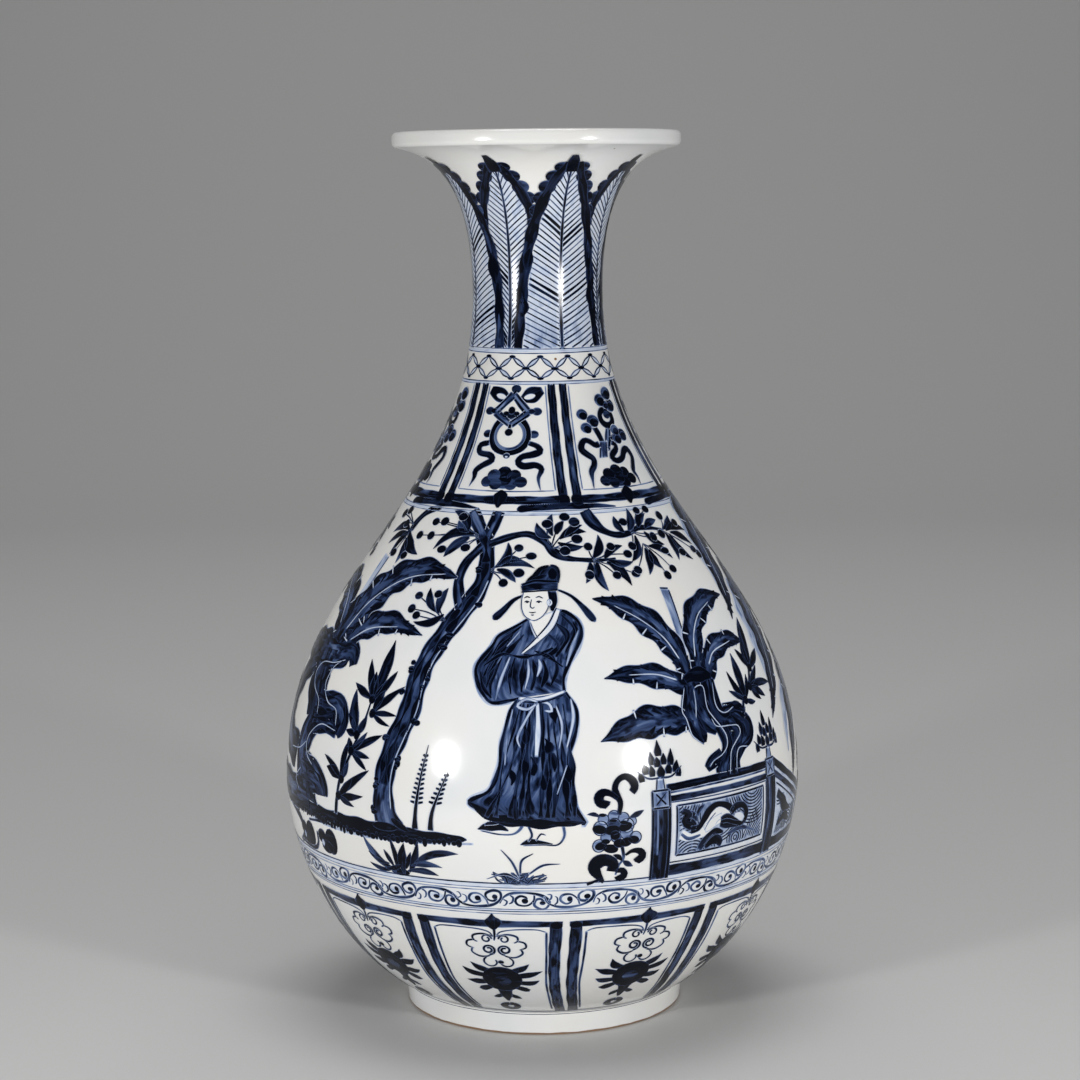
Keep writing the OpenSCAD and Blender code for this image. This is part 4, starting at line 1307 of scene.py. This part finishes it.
curly += [drawn(path, widths, 0.99, 0.6, lift=6) for path, widths in curls]
paint("grass_and_curly_plant", tuft + curly)


# Plantain and rock at the right
# A second plantain rises from a twisted rock behind the balustrade, with a young leaf still rolled up in its
# heart and a sprig of bamboo beside it.
right_leaves = [fill([(37.3, 131), (37.9, 151.4)], [(39.5, 131), (41, 150.8)], (0.14, 0.34, 0.24), soft=0.3,
                     lift=2),
                stroke([(39.4, 132, 0.4), (41, 150.6, 0.9)], 0.66, 0.15, lift=3),
                stroke([(38, 151.4, 0.8), (41, 151, 0.7)], 0.6, 0.2, lift=3)]
right_leaves += plantain([(37, 125, 6), (35, 134, 9), (30.8, 141, 10.4), (25.4, 146, 9), (19.8, 148.8, 4.8),
                          (15, 150, 0.4)], [(35.8, 130), (33, 137), (27.6, 143), (21, 147.6)])
right_leaves += plantain([(40.8, 126, 6), (42.6, 136, 8.4), (46.6, 142, 9.4), (52, 145, 8.8),
                          (58, 146.4, 5.6), (63.8, 146, 0.4)],
                         [(40.8, 130), (43.2, 136.6), (48, 142), (55, 145)])
right_leaves += plantain([(43, 123.4, 6), (46, 129.4, 7.6), (50.4, 132.2, 8), (56, 133.2, 6.2),
                          (60, 132, 3.2), (62.6, 130.8, 0.4)], [(44.4, 127), (48, 130.6), (56, 132.4)])
right_leaves += plantain([(36, 121.4, 6), (31.4, 124.4, 8), (25.6, 126.6, 8), (19.6, 127.2, 5),
                          (14.8, 126.4, 0.4)], [(33.4, 124), (28, 126.4), (21, 127)])
right_leaves += plantain([(35.4, 110.6, 5), (31, 112, 9), (25, 112.6, 10.6), (18.6, 110.8, 8),
                          (12.6, 107.6, 0.4)], [])
right_rock = rockwork([
    [(36, 122, 5), (35, 115, 7), (35.6, 110, 7.6), (36.8, 106.4, 5), (37.4, 103.8, 2)],
    [(38, 124, 7.4), (37.8, 117, 8.4), (39, 111, 8.4), (42, 107.6, 6)],
    [(42.4, 124, 7), (42, 117, 7), (43.4, 111, 8), (47, 109.6, 8.4), (51, 107.4, 7.6), (51.2, 103.4, 7),
     (48.4, 100.8, 5.6), (46, 97, 5), (45.8, 92, 6)],
    [(43, 109, 7), (44.6, 104, 7.4), (44, 99, 7.4), (42.4, 95.4, 8), (42.4, 91.6, 8)],
    [(42, 99.4, 5), (39, 97.4, 4.6), (37.2, 95.6, 3.2)], [(45, 112, 6), (49, 112.2, 5.4), (52, 109.8, 5)],
    [(45.6, 110, 7), (48, 105.4, 7), (46.8, 100.4, 6), (44.6, 95, 5)],
], [
    [(34.8, 121.4), (32.9, 115), (33.6, 111.8), (34.3, 107), (35.6, 105), (37.2, 103.4)],
    [(37.4, 120.6), (37, 116.2), (36.2, 111.6)],
    [(37.6, 120.8), (39, 121.4), (40.4, 120.6), (40, 114.6), (41.1, 111.4), (43, 107.7), (44.1, 104.6),
     (43.8, 101.5), (42, 99.2), (39.4, 97.8), (38, 96)],
    [(43.6, 121.6), (42.8, 116), (43.4, 113), (45.4, 111.8), (48.4, 113)],
    [(40.6, 110.8), (41.8, 108.2), (46, 107.6), (48.4, 107), (48.8, 104.6), (46.8, 102.2), (44.9, 99.6),
     (44.2, 95.6), (43.8, 92.4)],
    [(50.6, 99.8), (48, 100.2), (46.8, 98.8), (46.2, 95.6), (46, 92.6)],
])
right_rock.append(stroke([(35.4, 123.4, 3), (37.4, 124.4, 4.4), (41, 124.6, 4.6), (43.6, 123.6, 3)], 0.99,
                         0.6, lift=7, uneven=0.2))
right_bamboo = bamboo([(51, 109), (53.4, 115.4), (57, 118.4), (60, 124), (60.6, 128)], [
    ((53.6, 114),
     [(54, 128.8, 3.8), (49.8, 123.8, 2.8), (48.4, 118, 2.4), (57, 121.6, 2.4), (57.6, 112.6, 2.2)]),
    ((57, 117.6), [(67.6, 116.6, 3), (63.4, 123, 2.8), (60.6, 112.6, 2.4), (63, 113, 3)]),
    ((60, 123), [(66, 138, 4.4), (56.6, 129.6, 3), (67.4, 127.6, 3.2), (60.8, 131, 3.2)]),
])
paint("plantain_and_rock_right", right_leaves + right_rock + right_bamboo)


# Balustrade
# A stone balustrade closes the garden at the right: two posts with flaming lotus finials, rails, a panel of
# waves between them, and a slanting panel that runs down to a low post round the side.
def bar(start, end, width, tone, lift=2, under=0.0):
    """A straight stroke of even width."""
    return stroke([(*start, width), (*end, width)], tone, under, lift, uneven=0.03)


def boxed(left, right, low, high, width, tone, lift):
    """The four sides of an upright oblong."""
    corners = [(left, low), (left, high), (right, high), (right, low)]
    return [bar(corners[k - 1], corners[k], width, tone, lift, 0.15) for k in range(4)]


post_foot = 61.6
cap_h = 5.6


def post(left, right, top):
    """A square post: dark sides, blue face, a pale cap with a cross in it, and its finial of drops."""
    middle = (left + right) / 2
    marks = [fill([(left, post_foot), (left, top)], [(right, post_foot), (right, top)], (0.74, 0.62, 0.7),
                  lift=5),
             bar((left, post_foot), (left, top), 0.9, 0.95, 6, 0.4),
             bar((right, post_foot), (right, top), 1.3, 0.98, 6, 0.4),
             bar((middle + 0.9, 62), (middle + 0.9, top - 6), 1.8, 0.95, 6, 0.7),
             bar((middle - 0.8, 70), (middle - 0.8, top - 6), 0.8, 0.4, 6, 0.6),
             fill([(left, top - cap_h), (left, top)], [(right, top - cap_h), (right, top)], 0.3, lift=7),
             bar((left + 0.8, top - 4.6), (right - 0.8, top - 1), 0.7, 0.8, 8, 0.3),
             bar((left + 0.8, top - 1), (right - 0.8, top - 4.6), 0.7, 0.8, 8, 0.3),
             fill([(middle - 1, top), (middle - 0.7, top + 3.6)],
                  [(middle + 1, top), (middle + 0.7, top + 3.6)], 0.3, lift=5)]
    marks += boxed(left, right, top - cap_h, top, 0.8, 0.9, 8)
    marks += [bar((middle + x, top), (middle + x * 0.7, top + 3.8), 0.5, 0.8, 6, 0.2) for x in (-1, 1)]
    drops = [(0, 10.8, 15.8, 2.3), (-1.6, 8.2, 12.4, 2.2), (1.1, 8, 11.6, 2.1), (2.7, 7.6, 12.8, 2.1),
             (-3.1, 5.4, 8.8, 2.2), (-1.7, 4.6, 8.2, 2.3), (0.3, 4.2, 8.2, 2.5), (2.1, 5, 8.6, 2.2),
             (3.8, 5.2, 9, 2), (-4.1, 3.2, 6, 1.9), (-0.4, 7.4, 10.6, 2.1), (4.4, 3.8, 6.4, 1.7)]
    for x, low, high, width in drops:
        drop = [(middle + x, top + low), (middle + x * 1.05, top + low + 1.7),
                (middle + x * 1.15, top + high)]
        marks.append(drawn(drop, (2, 1.15 * width, 0.2), hand.uniform(0.95, 1.1), 0.4, lift=6))
    for way in (-1, 1):
        wing = [(middle, top + 4), (middle + way * 2.8, top + 4.2), (middle + way * 5.4, top + 7)]
        marks.append(drawn(wing, (0.8, 0.8, 0.3), 0.75, lift=5))
    return marks


wave_gap = 1.05
wave_line = 0.6


def comb(centre, radii, box, tone):
    """Wave lines: arcs round one centre, cut off at the sides of a box (left, right, low, high)."""
    left, right, low, high = box
    r, run = wall_at(centre[1])
    a = np.linspace(0, 2 * np.pi, 73)
    marks = []
    for radius in np.arange(*radii, wave_gap):
        x, z = centre[0] + np.degrees(radius * np.sin(a) / r), centre[1] + radius * np.cos(a) / run
        inside = (x > left) & (x < right) & (z > low) & (z < high)
        cuts = np.flatnonzero(np.diff(inside.astype(int))) + 1
        for part in np.split(np.arange(len(a)), cuts):
            if inside[part[0]] and len(part) > 3:
                arc = np.stack([x[part], z[part], np.full(len(part), wave_line)], 1)
                marks.append(stroke(arc, hand.uniform(tone - 0.05, tone + 0.2), 0.2, 3))
    return marks


balustrade = [fill([(27.4, 66.8), (27.4, 86.8)], [(56.5, 66.8), (56.5, 86.8)], 0.05, lift=1, soft=0.1),
              fill([(29, 69), (29, 85.4)], [(55, 69), (55, 85.4)], (0.24, 0.2, 0.26), lift=2, soft=0.2)]
balustrade += boxed(29, 55.2, 69, 85.5, 0.8, 0.75, 6) + boxed(27.5, 56.4, 66.9, 86.8, 0.5, 0.6, 6)
rails = [([(26.6, 91.5), (40, 92.3), (58, 92.1)], (2.8, 2.6, 2.8), (0.99, 0.9, 0.97)),
         ([(26.6, 89.9), (40, 90.6), (58, 90.4)], (0.9, 0.8), 0.4),
         ([(26.6, 87.9), (40, 88.4), (58, 88.2)], (2.4, 2.1, 2.4), (0.9, 0.62, 0.6, 0.85)),
         ([(26.6, 64.2), (40, 64.3), (58, 64.2)], (4.2, 3.8, 4.4), (0.9, 0.66, 0.64, 0.97)),
         ([(60, 92.6), (70, 84.6), (84, 75)], (3, 2.8), (0.95, 0.8, 0.9)),
         ([(60, 88.6), (70, 80.8), (84, 71)], (2.6, 2.4), (0.7, 0.86)),
         ([(60, 64.2), (72, 64.2), (86, 64.2)], (4.2, 3.8), (0.97, 0.7, 0.85)),
         ([(61.4, 84.6), (70, 78), (84, 68)], (0.8, 0.8), 0.8)]
balustrade += [drawn(path, widths, tone, lift=4, uneven=0.05) for path, widths, tone in rails]
balustrade += [fill([(60, 92), (70, 84.6), (84, 74)], [(60, 63), (70, 63), (84, 63)], (0.12, 0.18), lift=1)]
panel = (29.4, 54.8, 69.4, 85.2)
waves = [((58, 66), (5, 16), panel, 0.72), ((33, 66), (4, 13), panel, 0.76), ((29, 87), (3, 9), panel, 0.7),
         ((51, 88), (4, 14), panel, 0.7), ((45.4, 71), (0.8, 5), panel, 0.8), ((40, 81), (8, 11), panel, 0.7),
         ((70, 66), (2, 12), (61.6, 82, 66.6, 74), 0.75), ((63, 82), (1, 6), (61.6, 70, 74, 80), 0.75)]
for wave in waves:
    balustrade += comb(*wave)
crests = [
    ([(29.8, 76), (32.4, 74.4), (35.6, 75.6), (38.4, 79.4), (40.6, 80.8), (43.4, 79.4)],
     (3, 3, 4, 5.6, 5.2, 2), 0.02, 4),
    ([(36, 76), (38.6, 78), (41, 79)], (2, 4, 3), 0.02, 4),
    ([(44.6, 78.8), (46.4, 78), (47.6, 76.6)], (1.6, 2.6, 1.6), 0.05, 7),
    ([(36, 76), (37.4, 79), (39, 81)], (0.3, 0.4, 0.3), 0.5, 5),
    ([(32.4, 76.8), (34.4, 77.2), (35.8, 79.6), (37.2, 82.2), (39.4, 83.6), (42, 82.8), (44.2, 80.6)],
     (2.4, 2.8, 2.4, 2.4, 2), 0.97, 6),
    ([(43.4, 79.6), (45.2, 81.6), (47.6, 81.2), (48.6, 78.6), (47.4, 75.8), (45, 76.6), (42.4, 78.4),
      (40.6, 78)], (2, 2.8, 2.2, 3, 2.4), 0.98, 6),
    ([(40.4, 77), (43, 76.4), (45.6, 75.6), (48, 75.6)], (2, 3.4, 2.6, 1), 0.97, 6),
    ([(30.2, 83.6), (31.8, 82), (31, 79.8), (32.8, 78.4), (33, 76.6)], (2.4, 3.6, 3, 3.6, 2.6), 0.93, 6),
    ([(31.6, 82.6), (33.2, 81.4), (33.8, 79.4)], (1.6, 2.4, 1), 0.75, 5),
    ([(33.8, 81), (34.8, 83.2), (36, 84.4)], (1.6, 2, 0.6), 0.7, 5),
    ([(34.8, 69.8), (36.6, 73), (39, 74.8), (41.4, 74)], (2, 2.8, 2.4, 0.8), 0.8, 6),
    ([(36.4, 70.2), (38.6, 72.2), (40.6, 71.2), (40.2, 69.6)], (2.4, 3.4, 2.6), 0.98, 6),
    ([(30, 76), (32, 74), (35, 74.6)], (0.8, 1.6, 0.6), 0.6, 5),
    ([(43, 73), (47, 74), (52, 71.6)], (1.4, 1.6, 0.8), 0.6, 4),
    ([(62, 81), (64.6, 78), (67, 74.8), (71, 73)], (3, 4.4, 4, 1.4), 0.96, 6),
    ([(63, 70), (67, 71.6), (71, 69)], (2, 3.6, 1.4), 0.95, 6),
]
for path, widths, tone, lift in crests:
    balustrade.append(drawn(path, widths, tone, 0.3, lift, uneven=0.18))
balustrade += post(23.3, 27.2, 91) + post(56.8, 60.4, 93.6) + post(84.4, 88, 80)
paint("balustrade", balustrade)


# Tall plantain at the right edge
# A tall plantain stands just round the right side. Its broad leaves hang to both sides, pale where the
# brush was wet and dark along the edges.
tall_plantain = earth_strip([(89.5, 65, 0.6), (93, 65.4, 4), (103, 65.4, 4.6), (110, 65.2, 0.6)])
tall_plantain += rockwork([[(97, 65, 12), (96, 80, 9), (95.6, 100, 8), (94.6, 120, 7.4), (93.4, 140, 7),
                            (92.6, 158, 3)]], [[(96, 72), (95, 92), (95.4, 112), (93.6, 134)]])
wet = (0.8, 0.62, 0.56, 0.7, 0.95)
for fringe in ([(82, 178, 10), (75, 169, 13), (70, 158, 9), (65.8, 147.6, 1)],
               [(80, 147, 11), (73.6, 139, 12), (70, 127, 8), (68, 116, 1)],
               [(82, 114, 8), (75.4, 109, 8), (71.8, 101, 5), (71, 92, 1)]):
    tall_plantain.append(stroke(fringe, (0.34, 0.2, 0.28), lift=2, soft=0.7, uneven=0.12))
tall_plantain += plantain([(92.6, 150, 6), (89.6, 166, 13), (84, 173, 16), (77.4, 166, 15), (70.6, 151, 9.5),
                           (63, 138, 0.4)], [(91, 160), (84, 172), (76, 162), (67, 145)], wet)
tall_plantain += plantain([(94.2, 128, 6), (91.6, 143, 13), (86, 148, 16), (79.6, 140, 16), (73.4, 123, 11),
                           (64, 105.4, 0.4)], [(92.6, 136), (86, 147), (78, 134), (69, 114)], wet)
tall_plantain += plantain([(95, 104, 6), (93, 118, 12), (88.6, 121, 15), (82.4, 112, 15), (77.4, 98, 10),
                           (73.8, 82.6, 0.4)], [(93.6, 112), (88, 120), (80.6, 106), (75.4, 91)], wet)
tall_plantain += plantain([(92.8, 152, 6), (97, 163, 11), (102, 162, 12), (105.4, 154, 8), (107, 145, 0.4)],
                          [(95, 159), (103, 158)])
tall_plantain += plantain([(94.8, 124, 6), (99, 134, 10), (103.6, 131, 10), (106.4, 124, 7),
                           (107.6, 117, 0.4)], [(97, 131), (104, 127)])
paint("tall_plantain", tall_plantain)


# Garden at the back
# The same garden goes on round the back: rock and bamboo, a second tree leaning the other way, and a second
# stretch of balustrade with its plantain.
back_earth = earth_strip([(114, 78.6, 0.6), (124, 78.4, 5), (145, 77.4, 5), (165, 77, 5.4), (185, 77, 5),
                          (195, 77, 3), (200, 77, 0.6)])
back_rock = again(left_leaves + left_rock + left_bamboo, 200) + again(curly, 92) + back_earth
paint("rock_and_bamboo_back", back_rock)
back_tree = again(tree + right_branch, 158, mirror=True) + again(blades, 150, mirror=True)
paint("tree_and_ground_back", back_tree)
back_balustrade = again(balustrade, 290, mirror=True) + again(right_branch, 214) + again(left_bamboo, 256)
paint("balustrade_back", back_balustrade)
paint("plantain_back", again(right_leaves + right_rock + right_bamboo, 290, mirror=True))


# Scroll band
# A running scroll on patches of pale wash, between ring lines under the garden: the stem goes in arches and
# cups by turns, each rolled up at its end, with a second curl beside it and a dark eye in both.
scroll_count = 36
scroll_step = 360 / scroll_count
scroll_start = -4.0
scroll_mid = 56.9
scroll_lines = [
    ([(-5.4, -1.4), (-4.6, 1), (-2.6, 2.4), (0.4, 2.6), (3.4, 1.7), (5.1, -0.4), (4.9, -2.7), (3.4, -3.2),
      (2, -1.9), (2.2, 0), (3.5, 0.5), (4.1, -0.6)], (0.6, 1.1, 1.2, 1.1, 1.0, 1.2)),
    ([(2.2, 2), (1.7, -0.2), (0.4, -1.9), (-1.4, -1.7), (-2, 0), (-1, 1.4), (0.4, 0.9), (0.4, -0.3)],
     (0.6, 1.0, 0.9, 1.1)),
    ([(-3.4, 1.8), (-2.6, 0.8), (-2.7, -0.8), (-3.4, -1.4)], (0.5, 0.8, 0.7, 0.4)),
    ([(-4.6, 0.2), (-3.9, -0.6), (-4.2, -1.9), (-4.8, -2)], (0.4, 0.7, 0.6, 0.3)),
]
scroll_eyes = [(3.8, -1.0), (0.0, -0.3)]
scroll = []
for k in range(scroll_count):
    at = scroll_start + k * scroll_step + hand.uniform(-0.4, 0.4)
    way = 1 - 2 * (k % 2)
    scroll.append(blob((at, scroll_mid), hand.uniform(3, 5.4), hand.uniform(1.6, 2.4),
                       hand.uniform(0.06, 0.15), lift=1, soft=1.0))
    for line, widths in scroll_lines:
        points = [(at + x + hand.uniform(-0.2, 0.2), scroll_mid + way * z) for x, z in line]
        scroll.append(drawn(points, widths, hand.uniform(0.46, 0.7), 0.06, 2, uneven=0.2, spacing=0.5))
    for x, z in scroll_eyes:
        scroll.append(blob((at + x, scroll_mid + way * z), *hand.uniform(0.75, 1.1, 2), hand.uniform(0.75, 1),
                           0.3, lift=3))
paint("scroll_band", scroll)


# Lower panels
# Ten lotus-petal panels stand on the foot and widen to the scroll band. Each has heavy bars, a thin inner
# line with a bracket at the top, and a pendant: a cloud head, a dark jewel among flames, and a small ring.
petal_count = 10
petal_step = 360 / petal_count
petal_start = -11.5


def lower_panel():
    """One panel, drawn about its middle; the halves mirror each other but for the hand's unevenness."""
    bars = [[(-18.6, 48, 2.4), (-10, 48.1, 2.7), (-1, 48, 3.2), (8, 48.1, 2.7), (15.8, 48, 2.4)],
            [(-17.1, 49, 4), (-17, 44, 4.2), (-17.1, 34, 3.9), (-16.8, 24, 3.7), (-15.6, 16, 3.5),
             (-13.8, 9.3, 3.2)],
            [(14.4, 49, 4), (14.3, 44, 4.2), (14.1, 34, 3.9), (14.4, 24, 3.7), (15.6, 16, 3.5),
             (17.4, 9.3, 3.2)]]
    marks = [stroke(bars[0], (0.97, 0.58, 0.74, 0.56, 0.97), 0.1, lift=3, uneven=0.04)]
    for bar_path in bars[1:]:
        marks.append(stroke(bar_path, (0.97, 0.6, 0.54, 0.58, 0.66, 0.9), 0.1, lift=2, uneven=0.05))
        marks += [stroke(beside(bar_path, side, 0.9), hand.uniform(0.68, 0.98, 5), 0.6, lift=3, uneven=0.3)
                  for side in (-0.75, 0.7)]
        marks.append(blob((bar_path[0][0], 47.6), 2.0, 1.7, 0.99, 0.6, lift=4))
    marks += [drawn([(0, 51.8), (-0.1, 50.6), (0, 49), (0, 47.4), (0.1, 45.8)], (0.3, 2, 6.4, 5, 1),
                    (0.9, 0.74, 0.84, 0.98), 0.55, lift=4),
              drawn([(0.1, 46), (0, 43.2), (-0.3, 41.5)], (1.2, 0.9, 0.6), 0.7)]
    for side, edge, foot in ((-1, -14.6, -11.8), (1, 12.1, 14.2)):
        inner = [(edge, 45), (edge, 34), (edge, 24), (foot * 0.5 + edge * 0.5, 16), (foot, 11)]
        marks.append(drawn(inner, (1.0, 0.9, 0.7), hand.uniform(0.55, 0.7)))
        bracket = [(edge, 45), (edge - side * 2.4, 46), (side * 5, 45.9), (side * 1.6, 45),
                   (side * 0.4, 43.3)]
        marks.append(drawn(bracket, (0.6, 0.7, 0.6), hand.uniform(0.5, 0.65)))
        tone = hand.uniform(0.62, 0.78)
        cloud_head = [
            [(0.3, 43.2), (3, 44), (5.2, 43.2), (5.3, 41.5), (4.4, 40.8)],
            [(5.0, 41.6), (6.9, 40.9), (7.2, 39.1), (5.6, 38.1)],
            [(6.0, 38.4), (6.3, 36.6), (4.6, 35.1), (2.6, 35.2), (1.0, 36.4)],
        ]
        marks += [drawn([(side * x, y) for x, y in lobe], (0.8, 1.0, 0.6), tone, lift=2, spacing=0.5)
                  for lobe in cloud_head]
        marks.append(circle((side * 2.1, 42.1), 1.8, 0.8, tone, start=-90 * side, turns=side * 1.2,
                            shrink=0.6))
        marks.append(circle((side * 2.0, 37.9), 2.3, 0.95, tone + 0.08, start=180, turns=side * 1.6,
                            shrink=0.7))
        marks.append(circle((side * 2.0, 33), 2.4, 0.8, tone, start=side * 30, turns=side * 0.75, shrink=0.2))
        flames = [((3.2, 29), (7.3, 32.8)), ((4.3, 27), (10.7, 29.9)), ((4.6, 24.2), (10, 25)),
                  ((3.6, 22.2), (8.2, 20.9)), ((0.6, 18.8), (4.2, 17))]
        for k, (foot, tip) in enumerate(flames):
            middle = ((foot[0] + tip[0]) / 2 + 0.6, (foot[1] + tip[1]) / 2 - 0.5)
            tip = (tip[0] + hand.uniform(-0.7, 0.7), tip[1] + hand.uniform(-0.6, 0.6))
            widths = (2.4, 3, 0.2) if k < 4 else (1.6, 2.2, 0.2)
            marks.append(drawn([(side * x, y) for x, y in (foot, middle, tip)], widths,
                               (0.99, hand.uniform(0.8, 1)), lift=2))
    marks += [blob((0.6, 33), 1.0, 1.0, 0.97, lift=3), blob((0, 25.7), 6.6, 6.8, 0.99, 0.6, lift=4, soft=0.4),
              blob((0, 25), 3, 3, 0.6, 0.98, lift=5, soft=1.2),
              drawn([(0, 22.6), (0, 20.4), (0, 18), (0, 15.4)], (8, 4.6, 3.4, 0.8), 0.98, 0.5, lift=3),
              circle((0, 12.5), 2.2, 2.6, 0.98, lift=3)]
    return marks


paint("lower_panels",
      [mark for k in range(petal_count) for mark in again(lower_panel(), petal_start + k * petal_step)])


# Floor, lights and camera
# A pale floor that sweeps up behind the vase, two soft boxes in front at either side, and wide soft lights
# above and behind. The camera stands where the photograph was taken from. Sizes here are metres.
floor_half = 2.6
floor_front = -2.2
sweep_start = 1.3
sweep_r = 0.9
backdrop_top = 3.2
floor_colour = (0.56, 0.56, 0.55)
floor_x = np.linspace(-floor_half, floor_half, 3)
sweep = np.radians(np.linspace(0, 90, 14))
floor_y = np.concatenate([[floor_front], sweep_start + sweep_r * np.sin(sweep), [sweep_start + sweep_r]])
floor_up = np.concatenate([[0], sweep_r * (1 - np.cos(sweep)), [backdrop_top]])
floor_points = np.stack([
    np.tile(floor_x, len(floor_y)), np.repeat(floor_y, len(floor_x)), np.repeat(floor_up, len(floor_x))
], 1)
floor_index = np.arange(len(floor_points)).reshape(len(floor_y), len(floor_x))
floor_faces = np.stack([
    floor_index[:-1, :-1], floor_index[:-1, 1:], floor_index[1:, 1:], floor_index[1:, :-1]
], -1).reshape(-1, 4)
floor_mesh = bpy.data.meshes.new("floor")
floor_mesh.from_pydata(floor_points.tolist(), [], floor_faces.tolist())
floor_mesh.polygons.foreach_set("use_smooth", np.ones(len(floor_faces), bool))
floor = bpy.data.objects.new("floor", floor_mesh)
bpy.context.collection.objects.link(floor)
floor_finish, _, _, floor_shader = new_finish("pale_floor")
floor_shader.inputs["Base Color"].default_value = (*floor_colour, 1)
floor_shader.inputs["Roughness"].default_value = 0.75
floor_mesh.materials.append(floor_finish)


def soft_light(name, place, aim, size, power):
    """An oblong soft box at a place, turned to face its aim."""
    data = bpy.data.lights.new(name, "AREA")
    data.shape = "RECTANGLE"
    data.size, data.size_y = size
    data.energy = power
    light = bpy.data.objects.new(name, data)
    light.location = place
    light.rotation_euler = (Vector(aim) - Vector(place)).to_track_quat("-Z", "Y").to_euler()
    bpy.context.collection.objects.link(light)


soft_light("left_box", (-0.49, -0.57, 0.21), (0, 0, 0.16), (0.07, 0.09), 2.9)
soft_light("right_box", (0.49, -0.57, 0.21), (0, 0, 0.16), (0.07, 0.09), 2.9)
soft_light("top_box", (0, 0.1, 1.9), (0, 0.1, 0), (1.1, 1.1), 14)
soft_light("back_box", (0, 0.7, 2.2), (0, 2.0, 0.6), (2.4, 0.6), 8)
world = bpy.data.worlds.new("studio")
world.use_nodes = True
world.node_tree.nodes["Background"].inputs["Color"].default_value = (0.9, 0.93, 1.0, 1)
world.node_tree.nodes["Background"].inputs["Strength"].default_value = 0.09
bpy.context.scene.world = world
bpy.context.scene.view_settings.view_transform = "Standard"

camera_distance = 0.8843
camera_height = 0.2812
camera_down = 7.75
camera_roll = -0.54
camera_data = bpy.data.cameras.new("camera")
camera_data.lens = 86.32
camera_data.sensor_width = 36
camera = bpy.data.objects.new("camera", camera_data)
camera.matrix_world = (
    Matrix.Translation((0, -camera_distance, camera_height))
    @ Matrix.Rotation(math.radians(90 - camera_down), 4, "X")
    @ Matrix.Rotation(math.radians(camera_roll), 4, "Z")
)
bpy.context.collection.objects.link(camera)
bpy.context.scene.camera = camera
